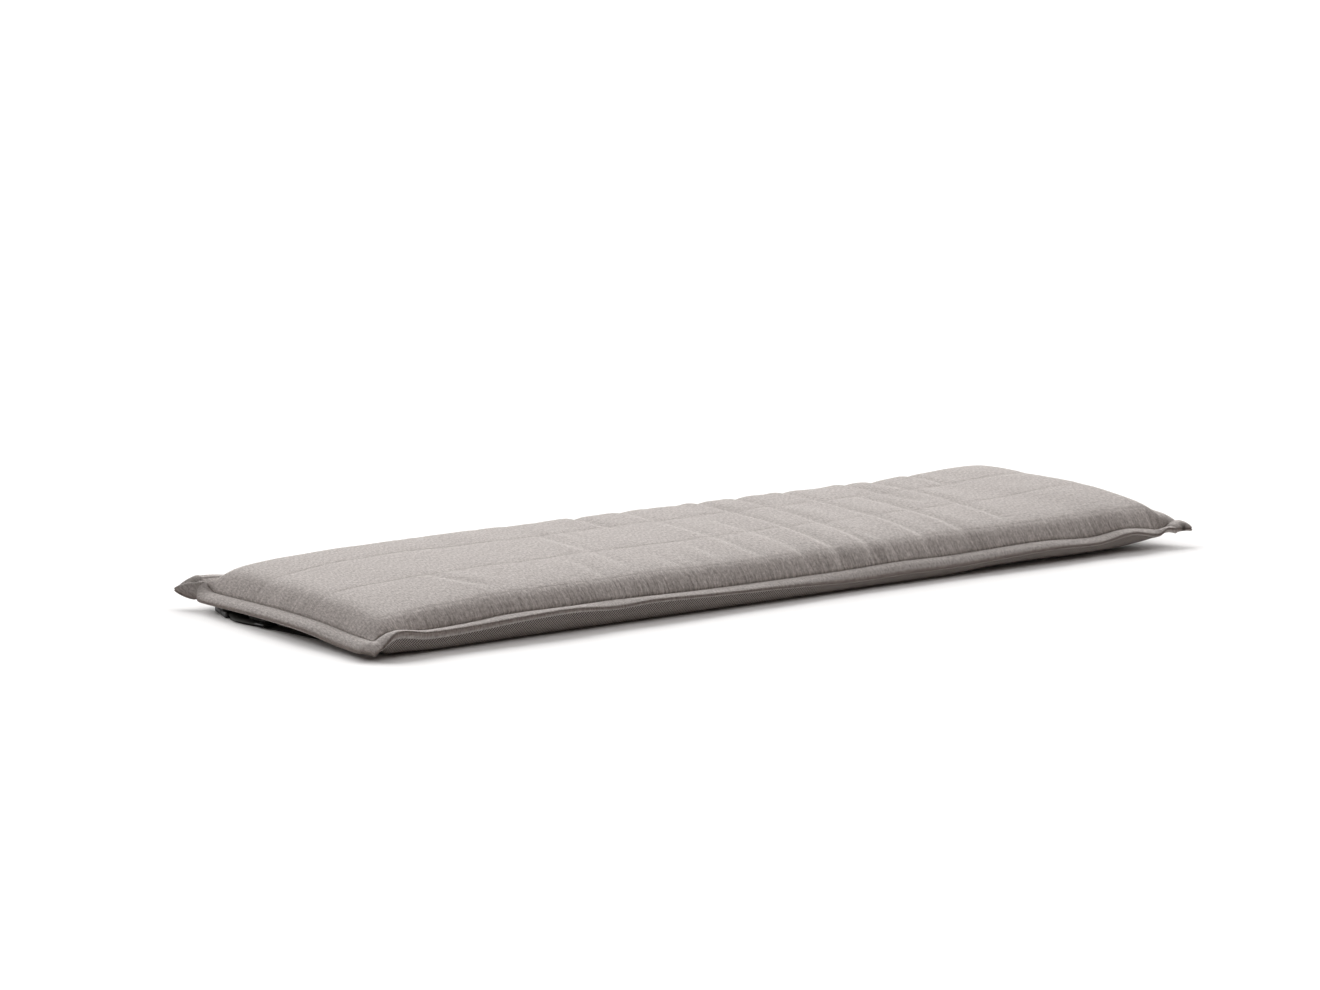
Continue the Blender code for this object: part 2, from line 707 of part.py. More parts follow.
def short_strap_profile(bar_run, lap_run, end_run):
    """The short strap's middle line: its sewn lap, the socket's bar and on to its end."""
    points = []
    for step in range(5):
        run = mix(lap_run, bar_run, step / 5)
        lift = (2 * BUCKLE_LOOP - LAYER) * smooth(1 - (run - bar_run) / 0.010)
        points.append((run, WEBBING_FLOOR + LAYER + lift))
    points += arc(bar_run, BUCKLE_BAR_HEIGHT, BUCKLE_LOOP, 90, 270)
    points += level_run(bar_run, end_run, WEBBING_FLOOR, 0.004)
    return points + [(end_run, WEBBING_FLOOR)]


def under_cushion(cushion_tree, x, y):
    """The height of the cushion's lower side here, the lowest close by."""
    reach = 0.0025
    heights = []
    for step_x, step_y in ((0, 0), (reach, 0), (-reach, 0), (0, reach), (0, -reach)):
        start = Vector((x + step_x, y + step_y, -1.0))
        hit = cushion_tree.ray_cast(start, Vector((0, 0, 1)))[0]
        if hit:
            heights.append(hit.z)
    return min(heights)


def webbing_lines(route, profile, sewn_at, cushion_tree):
    """For each place in the profile, the webbing's middle at its left edge, centre and
    right edge, and the direction across. sewn_at says how far, from 0 to 1, the webbing
    lies against the cushion there and not at the profile's height."""
    lines = []
    for run, height in profile:
        place, heading = place_on(route, run)
        across = Vector((heading.y, -heading.x, 0))
        sewn = sewn_at(run)
        points = []
        for share in (-1, 0, 1):
            point = place + across * (share * WEBBING_WIDTH / 2)
            point.z = height
            if sewn > 0:
                against = under_cushion(cushion_tree, point.x, point.y) - SEWN_DROP
                point.z = mix(height, max(against, height), sewn)
            points.append(point)
        lines.append((points, across))
    return lines


def make_webbing(name, lines, material):
    """A flat ribbon along the lines, one closed solid."""
    bm = bmesh.new()
    rings = []
    for k, (points, across) in enumerate(lines):
        before, after = lines[max(k - 1, 0)][0], lines[min(k + 1, len(lines) - 1)][0]
        upper, lower = [], []
        for n, point in enumerate(points):
            outward = across.cross(after[n] - before[n]).normalized()
            offset = outward * (WEBBING_THICKNESS / 2)
            upper.append(bm.verts.new(point + offset))
            lower.append(bm.verts.new(point - offset))
        rings.append(upper + lower[::-1])
    for ring, following in zip(rings, rings[1:]):
        for k in range(6):
            n = (k + 1) % 6
            bm.faces.new((ring[k], ring[n], following[n], following[k]))
    for ring in (rings[0], rings[-1]):
        bm.faces.new((ring[0], ring[1], ring[4], ring[5]))
        bm.faces.new((ring[1], ring[2], ring[3], ring[4]))
    return make_object(name, bm, material)


def block(low, high, bevel=0.0):
    """A box between two corners, its edges rounded by the bevel."""
    bm = bmesh.new()
    bmesh.ops.create_cube(bm, size=1)
    for vert in bm.verts:
        for axis in range(3):
            vert.co[axis] = mix(low[axis], high[axis], vert.co[axis] + 0.5)
    if bevel:
        upright = [e for e in bm.edges if abs(e.verts[0].co.z - e.verts[1].co.z) > 1e-6]
        bmesh.ops.bevel(
            bm, geom=upright, offset=bevel, segments=3, profile=0.5, affect="EDGES"
        )
        flat = [e for e in bm.edges if e.calc_face_angle(0) > 1.2]
        bmesh.ops.bevel(
            bm, geom=flat, offset=bevel / 4, segments=1, profile=0.5, affect="EDGES"
        )
    return helper_object(bm)


def rod(y, z, radius, length):
    """A round bar across, along X."""
    bm = bmesh.new()
    bmesh.ops.create_cone(
        bm, cap_ends=True, segments=12, radius1=radius, radius2=radius, depth=length
    )
    bm.transform(Matrix.Translation((0, y, z)) @ Matrix.Rotation(math.pi / 2, 4, "Y"))
    return helper_object(bm)


def helper_object(bm):
    mesh = bpy.data.meshes.new("helper")
    bm.to_mesh(mesh)
    bm.free()
    obj = bpy.data.objects.new("helper", mesh)
    bpy.context.scene.collection.objects.link(obj)
    return obj


def carve(name, body, steps, material):
    """The body after each Boolean step, with the helpers removed."""
    for operation, helper in steps:
        modifier = body.modifiers.new("Boolean", "BOOLEAN")
        modifier.operation = operation
        modifier.solver = "EXACT"
        modifier.object = helper
    graph = bpy.context.evaluated_depsgraph_get()
    mesh = bpy.data.meshes.new_from_object(body.evaluated_get(graph))
    mesh.materials.clear()
    mesh.materials.append(material)
    for obj in [body] + [helper for _, helper in steps]:
        bpy.data.objects.remove(obj)
    made = bpy.data.objects.new(name, mesh)
    mesh.name = name
    bpy.context.scene.collection.objects.link(made)
    return made


def across_block(half_width, y_range, half_height, bevel=0.0):
    """A box centred on the buckle's middle, in X and in height."""
    low = (-half_width, y_range[0], BUCKLE_MIDDLE - half_height)
    high = (half_width, y_range[1], BUCKLE_MIDDLE + half_height)
    return block(low, high, bevel)


def make_socket(name, material):
    half, end = BUCKLE_WIDTH / 2, BUCKLE_LENGTH / 2
    body = across_block(half, (SOCKET_MOUTH, end), BUCKLE_THICKNESS / 2, 0.0028)
    fork = across_block(FORK_WIDTH / 2, (SOCKET_WEB[1], end + 0.01), 0.01)
    bar = rod(BUCKLE_BAR_REACH, BUCKLE_BAR_HEIGHT, BUCKLE_BAR_RADIUS, BUCKLE_WIDTH - 0.002)
    cavity_ends = (SOCKET_MOUTH - 0.01, SOCKET_WEB[0])
    cavity = across_block(CAVITY_WIDTH / 2, cavity_ends, CAVITY_HEIGHT / 2)
    windows = across_block(BUCKLE_WIDTH, WINDOW, CAVITY_HEIGHT / 2)
    steps = [("DIFFERENCE", fork), ("DIFFERENCE", cavity), ("DIFFERENCE", windows)]
    return carve(name, body, steps + [("UNION", bar)], material)


def make_plug(name, material):
    half, end = BUCKLE_WIDTH / 2, BUCKLE_LENGTH / 2
    base_ends = (-end, SOCKET_MOUTH - CLEARANCE)
    body = across_block(half, base_ends, BUCKLE_THICKNESS / 2, 0.0028)
    fork = across_block(FORK_WIDTH / 2, (-end - 0.01, -SOCKET_WEB[1]), 0.01)
    bar = rod(-BUCKLE_BAR_REACH, BUCKLE_BAR_HEIGHT, BUCKLE_BAR_RADIUS, BUCKLE_WIDTH - 0.002)
    inner_half = CAVITY_HEIGHT / 2 - CLEARANCE
    lug_ends = (WINDOW[0] + CLEARANCE, WINDOW[1] - CLEARANCE)
    root = base_ends[1] - 0.002
    tongue = across_block(TONGUE_WIDTH / 2, (root, WINDOW[1]), inner_half)
    steps = [("DIFFERENCE", fork), ("UNION", bar), ("UNION", tongue)]
    outer = CAVITY_WIDTH / 2 - CLEARANCE
    for side in (-1, 1):
        edges = sorted((side * outer, side * (outer - PRONG_WIDTH)))
        lug = sorted((side * half, side * (outer - PRONG_WIDTH / 2)))
        low, high = BUCKLE_MIDDLE - inner_half, BUCKLE_MIDDLE + inner_half
        prong = block((edges[0], root, low), (edges[1], lug_ends[1], high))
        steps.append(("UNION", prong))
        near = (lug[0], lug_ends[0], low + LUG_STEP)
        far = (lug[1], lug_ends[1] - LUG_STEP, high - LUG_STEP)
        steps.append(("UNION", block(near, far)))
    return carve(name, body, steps, material)


def make_slider(name, material):
    width, length, thickness = SLIDER_SIZE
    top = SLIDER_BASE + thickness
    body = block(
        (-width / 2, -length / 2, SLIDER_BASE), (width / 2, length / 2, top), 0.0024
    )
    opening = block(
        (-FORK_WIDTH / 2, -SLIDER_OPENING / 2, 0.0),
        (FORK_WIDTH / 2, SLIDER_OPENING / 2, top + 0.01),
    )
    bar = rod(0.0, SLIDER_BAR_HEIGHT, SLIDER_BAR_RADIUS, width - 0.002)
    return carve(name, body, [("DIFFERENCE", opening), ("UNION", bar)], material)


def make_strap(strap, cushion_tree, webbing, plastic):
    """One strap: two lengths of webbing, the slider and the buckle's two halves."""
    axis = Vector((math.sin(strap.turn), math.cos(strap.turn), 0))
    middle = Vector((strap.buckle.x, strap.buckle.y, 0))
    plug_bar = middle - BUCKLE_BAR_REACH * axis
    socket_bar = middle + BUCKLE_BAR_REACH * axis

    front = [Vector((point.x, point.y, 0)) for point in strap.front]
    to_bar = smooth_route(front + [plug_bar - 0.009 * axis, plug_bar])
    bar_run = route_length(to_bar)
    slider_run = bar_run - SLIDER_BEFORE_BAR
    lines = webbing_lines(
        to_bar + [plug_bar + LOOP_ROOM * axis],
        long_strap_profile(slider_run, bar_run),
        lambda run: 1 - smooth((run - FRONT_PATCH) / PATCH_EASE),
        cushion_tree,
    )
    make_webbing(f"strap_{strap.side}_long", lines, webbing)

    back = [Vector((point.x, point.y, 0)) for point in strap.back]
    from_bar = smooth_route([socket_bar, socket_bar + 0.012 * axis] + back)
    route = [socket_bar - LOOP_ROOM * axis] + from_bar
    end_run = route_length(route)
    lap_run = LOOP_ROOM + LAP_LENGTH
    climb = end_run - strap.back_patch - lap_run
    lines = webbing_lines(
        route,
        short_strap_profile(LOOP_ROOM, lap_run, end_run),
        lambda run: smooth((run - lap_run) / climb),
        cushion_tree,
    )
    make_webbing(f"strap_{strap.side}_short", lines, webbing)

    for obj in (
        make_plug(f"buckle_{strap.side}_plug", plastic),
        make_socket(f"buckle_{strap.side}_socket", plastic),
    ):
        obj.location = middle
        obj.rotation_euler.z = -strap.turn
    place, heading = place_on(to_bar, slider_run)
    slider = make_slider(f"slider_{strap.side}", plastic)
    slider.location = place
    slider.rotation_euler.z = -math.atan2(heading.x, heading.y)


def main():
    for obj in list(bpy.data.objects):
        bpy.data.objects.remove(obj)
    fabric = make_material("melange_fabric", (0.47, 0.44, 0.42), 0.9)
    webbing = make_material("strap_webbing", (0.045, 0.045, 0.040), 0.85)
    plastic = make_material("black_plastic", (0.012, 0.012, 0.012), 0.45)
    cushion = make_cushion(fabric)
    cushion_tree = BVHTree.FromObject(cushion, bpy.context.evaluated_depsgraph_get())
    for strap in STRAPS:
        make_strap(strap, cushion_tree, webbing, plastic)


main()
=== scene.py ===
"""The looks of the bench cushion: its woven cover with stitched border, quilting and folds,
its webbing and buckles, and a plain pale studio.

X runs along the cushion, Y from its front edge to its back, Z up, all in metres. The shape
tables are those of the part's source; the finer relief is added on top of them.
"""

import math
from collections import namedtuple

import bmesh
import bpy
import numpy as np
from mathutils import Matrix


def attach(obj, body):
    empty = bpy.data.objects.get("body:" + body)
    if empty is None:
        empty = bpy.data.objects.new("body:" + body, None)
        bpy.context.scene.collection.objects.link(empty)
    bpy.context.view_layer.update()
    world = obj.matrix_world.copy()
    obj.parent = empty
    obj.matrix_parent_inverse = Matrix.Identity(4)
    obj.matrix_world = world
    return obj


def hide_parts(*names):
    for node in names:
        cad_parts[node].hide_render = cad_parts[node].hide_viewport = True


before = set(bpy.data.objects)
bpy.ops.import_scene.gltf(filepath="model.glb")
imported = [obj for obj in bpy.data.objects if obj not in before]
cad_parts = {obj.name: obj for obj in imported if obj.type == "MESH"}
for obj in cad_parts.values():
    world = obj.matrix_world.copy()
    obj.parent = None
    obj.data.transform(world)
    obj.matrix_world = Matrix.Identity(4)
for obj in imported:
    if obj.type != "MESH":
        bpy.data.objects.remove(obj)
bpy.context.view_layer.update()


def table(kind, *rows):
    """These rows as named tuples of one kind, their numbers in the order of its fields."""
    return tuple(kind(*row) for row in rows)


# ---------------------------------------------------------------------------------------
# The cushion's sizes, as in the part's source
# ---------------------------------------------------------------------------------------

PANEL_LENGTH = 1.400
PANEL_WIDTH = 0.425
BORDER_WIDTH = 0.025
CROWN_HEIGHT = 0.0712
HALF_LENGTH = PANEL_LENGTH / 2
HALF_WIDTH = PANEL_WIDTH / 2

# A section across the border: its place along the edge, the height of the stitched seam, the
# height of the rim, and how deep the lower layer hangs under the rim
EdgeSection = namedtuple("EdgeSection", "at seam rim lip")
FRONT_EDGE = table(
    EdgeSection,
    (-0.700, 0.0205, 0.0160, 0.0040),
    (-0.677, 0.0290, 0.0330, 0.0080),
    (-0.630, 0.0254, 0.0278, 0.0085),
    (-0.560, 0.0272, 0.0278, 0.0075),
    (-0.490, 0.0318, 0.0304, 0.0062),
    (-0.400, 0.0308, 0.0320, 0.0052),
    (-0.330, 0.0317, 0.0270, 0.0045),
    (-0.270, 0.0301, 0.0290, 0.0042),
    (-0.180, 0.0283, 0.0258, 0.0038),
    (-0.020, 0.0275, 0.0204, 0.0035),
    (0.080, 0.0275, 0.0160, 0.0035),
    (0.175, 0.0294, 0.0163, 0.0035),
    (0.270, 0.0279, 0.0164, 0.0035),
    (0.450, 0.0302, 0.0222, 0.0035),
    (0.545, 0.0257, 0.0206, 0.0035),
    (0.612, 0.0311, 0.0288, 0.0040),
    (0.664, 0.0260, 0.0210, 0.0040),
    (0.682, 0.0208, 0.0280, 0.0040),
    (0.700, 0.0262, 0.0262, 0.0075),
)
BACK_EDGE = table(
    EdgeSection,
    (-0.700, 0.0330, 0.0385, 0.0035),
    (-0.680, 0.0325, 0.0378, 0.0035),
    (-0.630, 0.0320, 0.0310, 0.0035),
    (-0.520, 0.0305, 0.0250, 0.0040),
    (-0.300, 0.0300, 0.0225, 0.0040),
    (-0.100, 0.0290, 0.0205, 0.0040),
    (0.150, 0.0300, 0.0235, 0.0040),
    (0.400, 0.0305, 0.0215, 0.0040),
    (0.600, 0.0345, 0.0290, 0.0035),
    (0.700, 0.0400, 0.0350, 0.0035),
)
LEFT_EDGE = table(
    EdgeSection,
    (-0.2125, 0.0210, 0.0098, 0.0035),
    (-0.160, 0.0222, 0.0112, 0.0035),
    (-0.080, 0.0262, 0.0172, 0.0045),
    (0.030, 0.0262, 0.0170, 0.0035),
    (0.120, 0.0241, 0.0146, 0.0030),
    (0.180, 0.0226, 0.0130, 0.0030),
    (0.198, 0.0240, 0.0128, 0.0030),
    (0.2125, 0.0330, 0.0140, 0.0035),
)
RIGHT_EDGE = table(
    EdgeSection,
    (-0.2125, 0.0262, 0.0305, 0.0075),
    (-0.198, 0.0395, 0.0350, 0.0045),
    (-0.170, 0.0435, 0.0395, 0.0040),
    (-0.130, 0.0435, 0.0420, 0.0035),
    (-0.050, 0.0430, 0.0380, 0.0040),
    (0.080, 0.0420, 0.0345, 0.0040),
    (0.2125, 0.0400, 0.0350, 0.0035),
)
LONG_EDGES = (FRONT_EDGE, BACK_EDGE)
END_EDGES = (LEFT_EDGE, RIGHT_EDGE)
EAR_TIPS = {
    (-1, -1): (-0.714, -0.2415, 0.0096),
    (-1, 1): (-0.7375, 0.2385, 0.0245),
    (1, -1): (0.730, -0.2400, 0.0235),
    (1, 1): (0.7375, 0.2415, 0.0330),
}
# How far an ear's rim arches up along its long border and along its end border, and how
# full an ear is between them
EAR_ARCHES = {
    (-1, -1): (0.0, 0.0),
    (-1, 1): (0.0030, -0.0050),
    (1, -1): (0.0010, 0.0030),
    (1, 1): (0.0, 0.0),
}
EAR_FULLNESS = 0.0030

# How the filled panel rises from each seam
Shoulder = namedtuple("Shoulder", "quick near far")
FRONT_SHOULDER = Shoulder(quick=0.52, near=0.0150, far=0.065)
BACK_SHOULDER = Shoulder(quick=0.90, near=0.0170, far=0.040)
LEFT_SHOULDER = Shoulder(quick=0.58, near=0.0160, far=0.095)
RIGHT_SHOULDER = Shoulder(quick=0.80, near=0.0110, far=0.045)

# Sewn channels along the length, by their Y at the left end, the middle and the right end
QuiltLine = namedtuple("QuiltLine", "left middle right depth")
QUILT_LINES = (
    QuiltLine(left=-0.187, middle=-0.187, right=-0.186, depth=0.0008),
    QuiltLine(left=-0.057, middle=-0.063, right=-0.052, depth=0.0015),
    QuiltLine(left=0.084, middle=0.079, right=0.074, depth=0.0017),
)
CHANNEL_WIDTH = 0.013

# The right end curls up, in full past this share of the width; the left end stands on its
# strap
TOP_CURL_START = 0.46
TOP_CURL_RUN = 0.22
TOP_CURL = 0.009
TOP_CURL_FULL_AT = 0.4
LiftSection = namedtuple("LiftSection", "at front back")
UNDERSIDE_LIFT = table(
    LiftSection,
    (-0.700, 0.0024, 0.0024),
    (-0.655, 0.0024, 0.0024),
    (-0.610, 0.0, 0.0),
    (-0.560, 0.0, 0.0),
    (0.200, 0.0, 0.0),
    (0.260, 0.0, 0.0),
    (0.340, 0.0046, 0.0),
    (0.430, 0.0054, 0.0),
    (0.500, 0.0046, 0.0060),
    (0.560, 0.0052, 0.0115),
    (0.610, 0.0068, 0.0155),
    (0.665, 0.0128, 0.0215),
    (0.700, 0.0190, 0.0260),
)
# How far in from each seam the underside comes down
FRONT_WALL = 0.008
BACK_WALL = 0.012
RIGHT_WALL = 0.016
LEFT_WALL_AT_FRONT = 0.022
LEFT_WALL_AT_BACK = 0.075

# How far the filled underside bulges out under the long borders: 0 where a border stands
# free, 1 where it lies against the bulge
Bulge = namedtuple("Bulge", "at front back")
UNDERSIDE_BULGE = table(
    Bulge,
    (-0.700, 1.0, 0.0),
    (-0.630, 1.0, 0.0),
    (-0.560, 1.0, 1.0),
    (0.600, 1.0, 1.0),
    (0.660, 0.9, 0.6),
    (0.700, 0.0, 0.0),
)
SEAM_THICKNESS = 0.0026
LOWEST_BORDER = 0.0008
# How near a seam its own height counts, and how much of its width a border may droop
SEAM_BLEND = 0.0005
MOST_DROOP = 0.8
# How far the net's columns lean with the folds, and how far from the ends in full
LINE_LEAN = 0.034
LEAN_FADE = 0.25

# ---------------------------------------------------------------------------------------
# The finer relief
# ---------------------------------------------------------------------------------------

# The quilting thread wanders: how far a line stands off its smooth course, by place
Wander = namedtuple("Wander", "at near middle far")
THREAD_WANDER = table(
    Wander,
    (-0.700, 0.0000, 0.0000, 0.0000),
    (-0.620, 0.0010, 0.0012, 0.0020),
    (-0.540, -0.0008, -0.0010, 0.0080),
    (-0.460, 0.0012, 0.0016, 0.0075),
    (-0.360, 0.0000, -0.0014, 0.0010),
    (-0.240, 0.0016, 0.0010, -0.0016),
    (-0.120, -0.0010, -0.0012, 0.0012),
    (0.010, 0.0010, 0.0016, -0.0010),
    (0.140, -0.0014, -0.0016, 0.0014),
    (0.260, 0.0012, 0.0012, -0.0014),
    (0.400, -0.0010, -0.0010, 0.0010),
    (0.550, 0.0010, 0.0010, -0.0008),
    (0.700, 0.0000, 0.0000, 0.0000),
)
GROOVE_DEPTH = 0.0002
GROOVE_WIDTH = 0.0017

# Folds across the width: narrow valleys between soft swells. front and back are a fold's X
# on the two long seams; it runs over the given shares of the width, 0 at the front. The first
# thirteen are in the part's source too.
Fold = namedtuple("Fold", "front back start end depth")
FOLDS = table(
    Fold,
    (-0.468, -0.612, 0.10, 0.42, 0.0043),
    (-0.314, -0.296, 0.02, 0.32, 0.0024),
    (-0.258, -0.236, 0.10, 0.80, 0.0024),
    (-0.142, -0.110, 0.60, 1.00, 0.0059),
    (-0.050, -0.028, 0.05, 1.00, 0.0028),
    (0.020, 0.042, 0.00, 0.60, 0.0024),
    (0.078, 0.116, 0.00, 1.00, 0.0059),
    (0.138, 0.188, 0.00, 1.00, 0.0053),
    (0.243, 0.277, 0.00, 1.00, 0.0050),
    (0.318, 0.350, 0.00, 0.70, 0.0048),
    (0.372, 0.397, 0.42, 1.00, 0.0050),
    (0.412, 0.452, 0.08, 1.00, 0.0050),
    (0.492, 0.526, 0.62, 1.00, 0.0039),
    (-0.362, -0.350, 0.38, 0.60, 0.0013),
    (-0.210, -0.200, 0.50, 0.80, 0.0013),
    (-0.190, -0.170, 0.00, 0.28, 0.0013),
    (-0.155, -0.150, 0.00, 0.28, 0.0010),
    (-0.108, -0.100, 0.00, 0.32, 0.0013),
    (0.178, 0.115, 0.00, 0.25, 0.0020),
    (-0.290, -0.283, 0.70, 1.00, 0.0008),
    (-0.240, -0.228, 0.72, 1.00, 0.0008),
    (-0.190, -0.178, 0.70, 1.00, 0.0008),
    (0.012, 0.022, 0.72, 1.00, 0.0009),
    (0.066, 0.078, 0.74, 1.00, 0.0011),
    (0.230, 0.242, 0.72, 1.00, 0.0009),
    (-0.420, -0.408, 0.74, 1.00, 0.0006),
    (-0.390, -0.378, 0.70, 1.00, 0.0006),
)
# A valley's width to its left and right, how square it is, the swells beside it, and the
# share of the panel's width over which it fades at each end
FOLD_LEFT = 0.0085
FOLD_RIGHT = 0.0150
FOLD_POINT = 1.6
SWELL_WIDTH = 0.026
SWELL_SHARE = 0.40
FOLD_FADE = 0.10
# How much of a fold the quilting threads hold down, and how near
HELD_BY_THREAD = 0.35
HELD_WITHIN = 0.012

# Puckers drawn in by a seam: how many, how far they run in, how high and how wide they are
Puckers = namedtuple("Puckers", "count reach height width")
FRONT_PUCKERS = Puckers(count=170, reach=0.020, height=0.00055, width=0.0030)
BACK_PUCKERS = Puckers(count=120, reach=0.014, height=0.00045, width=0.0032)
END_PUCKERS = Puckers(count=44, reach=0.016, height=0.00045, width=0.0032)
LINE_PUCKERS = Puckers(count=110, reach=0.009, height=0.00030, width=0.0034)
BAND_PUCKERS = Puckers(count=150, reach=0.009, height=0.00035, width=0.0034)
PUCKER_START = 0.002
# Each pucker's height, width and reach are its kind's, times a share from these ranges
PUCKER_HEIGHTS = (0.3, 1.5)
PUCKER_WIDTHS = (0.7, 1.4)
PUCKER_REACHES = (0.5, 1.5)
PUCKER_SLANT = 0.12

# The filling's slow lumps: how many waves, their turns in radians a metre, and their heights
LUMP_WAVES = 14
LUMP_TURNS_ALONG = (12, 70)
LUMP_TURNS_ACROSS = (8, 50)
LUMP_STRENGTHS = (0.3, 1.0)
LUMP_HEIGHT = 0.0002

# The border's rolled section, the groove along the rim where it is sewn, and the share of its
# width over which the lip turns down from the rim
BAND_FULLNESS = 0.0010
ROLL_POWER = 2.4
LEAST_ROLL = 0.0042
RIM_GROOVE = 0.0020
RIM_GROOVE_HEIGHT = 0.0008
LIP_REACH = 0.12
# The dark line of painted shade in that groove, and the fainter painted shade at the panel's foot
RIM_SHADE_WIDTH = 0.0008
FOOT_SHADE_WIDTH = 0.0008
FOOT_SHADE = 0.4

# The openings where an ear is folded over, dented and painted dark as shadow: on which ear, where
# on its two borders, how wide
Spot = namedtuple("Spot", "side_x side_y out_x out_y size")
EAR_SPOTS = (
    Spot(side_x=-1, side_y=1, out_x=0.50, out_y=0.38, size=0.13),
    Spot(side_x=1, side_y=-1, out_x=0.45, out_y=0.97, size=0.16),
)
SPOT_DEPTH = 0.0024

# How far the full panel leans out over its seams, and how far in from them
OVERHANG = 0.0016
OVERHANG_AT = 0.0025

# The steep faces, drawn into fine streaks by the seams: how far in from them they reach
DRAWN_REACH = 0.024
# The end seams are shorter and draw in less
END_DRAWING = 0.6

# The folds run on down the front and back faces, this far in from the seams
FACE_REACH = 0.020
FACE_START = 0.010

# The net of the cover, as shares of the border's width or metres in from a seam. Both layers
# have as many rows, as they share the points of the rim.
UPPER_BAND_ROWS = (
    0.015, 0.05, 0.11, 0.18, 0.26, 0.34, 0.42, 0.50, 0.58, 0.66, 0.74, 0.82, 0.89, 0.94,
    0.975, 0.993, 1.0,
)
LOWER_BAND_ROWS = (
    0.12, 0.26, 0.40, 0.52, 0.64, 0.74, 0.82, 0.88, 0.915, 0.94, 0.955, 0.97, 0.982, 0.99,
    0.996, 0.999, 1.0,
)
SHOULDER_ROWS = (0.0, 0.0008, 0.0018, 0.0032, 0.0050, 0.0072, 0.0100, 0.0132)
CHANNEL_ROWS = (-0.0085, -0.0055, -0.0032, -0.0016, 0.0, 0.0016, 0.0032, 0.0055, 0.0085)
ROW_SPACING = 0.0066
COLUMN_SPACING = 0.0031
# Where the underside is flat, from this many rows in, one face takes up a block of the net
FLAT_MARGIN = 4
BLOCK = 6
# These keep off division by nothing, and rounding
LEAST_SHARE = 1e-6
ROUNDING = 1e-9

RANDOM_SEED = 20

# Stitches: each is a spindle through these places along it, with these sizes and heights as
# shares of the thread's radius
STITCH_PLACES = (0.0, 0.18, 0.62, 0.80)
STITCH_SIZES = (0.45, 1.0, 1.0, 0.45)
STITCH_LIFTS = (-0.9, 0.45, 0.45, -0.9)
STITCH_SIDES = ((1, 0), (0, 1), (-1, 0), (0, -1))
STITCH_PITCH = 0.0038
QUILT_THREAD = 0.00036
SEAM_THREAD = 0.00034
# The seam's stitches lie this share of the border's width out from the panel
SEAM_STITCHES_AT = 0.10
PATH_POINTS = 2400

# The finer copies of the webbing
MERGE_DISTANCE = 1e-6
FLAT_ANGLE = 0.7
WEBBING_LEVELS = 2


def smooth(value):
    """An even S-shaped step from 0 to 1."""
    value = np.clip(value, 0.0, 1.0)
    return value * value * (3 - 2 * value)


def mix(first, second, share):
    return first + (second - first) * share


def along(rows, places, column):
    """The column's values at these places, on a smooth curve through the rows."""
    at = np.array([row.at for row in rows])
    values = np.array([getattr(row, column) for row in rows])
    slopes = np.gradient(values, at)
    slopes[1:-1] = (values[2:] - values[:-2]) / (at[2:] - at[:-2])
    places = np.clip(places, at[0], at[-1])
    before = np.clip(np.searchsorted(at, places, side="right") - 1, 0, len(at) - 2)
    span = at[before + 1] - at[before]
    t = (places - at[before]) / span
    return (
        values[before] * (2 * t**3 - 3 * t**2 + 1)
        + slopes[before] * span * (t**3 - 2 * t**2 + t)
        + values[before + 1] * (3 * t**2 - 2 * t**3)
        + slopes[before + 1] * span * (t**3 - t**2)
    )


def seam_height(x, y):
    """The height of the seams around the panel, carried in from the nearest ones."""
    total, weights = 0.0, 0.0
    for rows, place, distance in (
        (FRONT_EDGE, x, y + HALF_WIDTH),
        (BACK_EDGE, x, HALF_WIDTH - y),
        (LEFT_EDGE, y, x + HALF_LENGTH),
        (RIGHT_EDGE, y, HALF_LENGTH - x),
    ):
        weight = 1 / (np.maximum(distance, 0.0) + SEAM_BLEND) ** 2
        total = total + weight * along(rows, place, "seam")
        weights = weights + weight
    return total / weights


def rise(shoulder, distance):
    near = shoulder.quick * np.tanh(distance / shoulder.near)
    far = (1 - shoulder.quick) * (1 - np.exp(-distance / shoulder.far))
    return near + far


def fullness(x, y):
    """0 on the seams, 1 where the panel has its full height."""
    return (
        rise(FRONT_SHOULDER, y + HALF_WIDTH)
        * rise(BACK_SHOULDER, HALF_WIDTH - y)
        * rise(LEFT_SHOULDER, x + HALF_LENGTH)
        * rise(RIGHT_SHOULDER, HALF_LENGTH - x)
    )


def quilt_line_y(number, x):
    """The course of a quilting thread: a parabola through its three places, and its wander."""
    line = QUILT_LINES[number]
    share = x / HALF_LENGTH
    tilt = (line.right - line.left) / 2
    bow = (line.right + line.left) / 2 - line.middle
    wander = along(THREAD_WANDER, x, Wander._fields[number + 1])
    return line.middle + tilt * share + bow * share * share + wander


def quilting(x, y):
    """Each sewn channel is a soft valley with a narrow groove along its thread."""
    height = 0.0
    for number, line in enumerate(QUILT_LINES):
        distance = np.abs(y - quilt_line_y(number, x))
        height = height - line.depth * np.exp(-distance / CHANNEL_WIDTH)
        height = height - GROOVE_DEPTH * np.exp(-((distance / GROOVE_WIDTH) ** 2))
    return height


def held_by_threads(x, y):
    """1 between the sewn channels, less on them: the threads hold the folds down."""
    hold = 0.0
    for number in range(len(QUILT_LINES)):
        distance = (y - quilt_line_y(number, x)) / HELD_WITHIN
        hold = np.maximum(hold, np.exp(-distance * distance))
    return 1 - HELD_BY_THREAD * hold


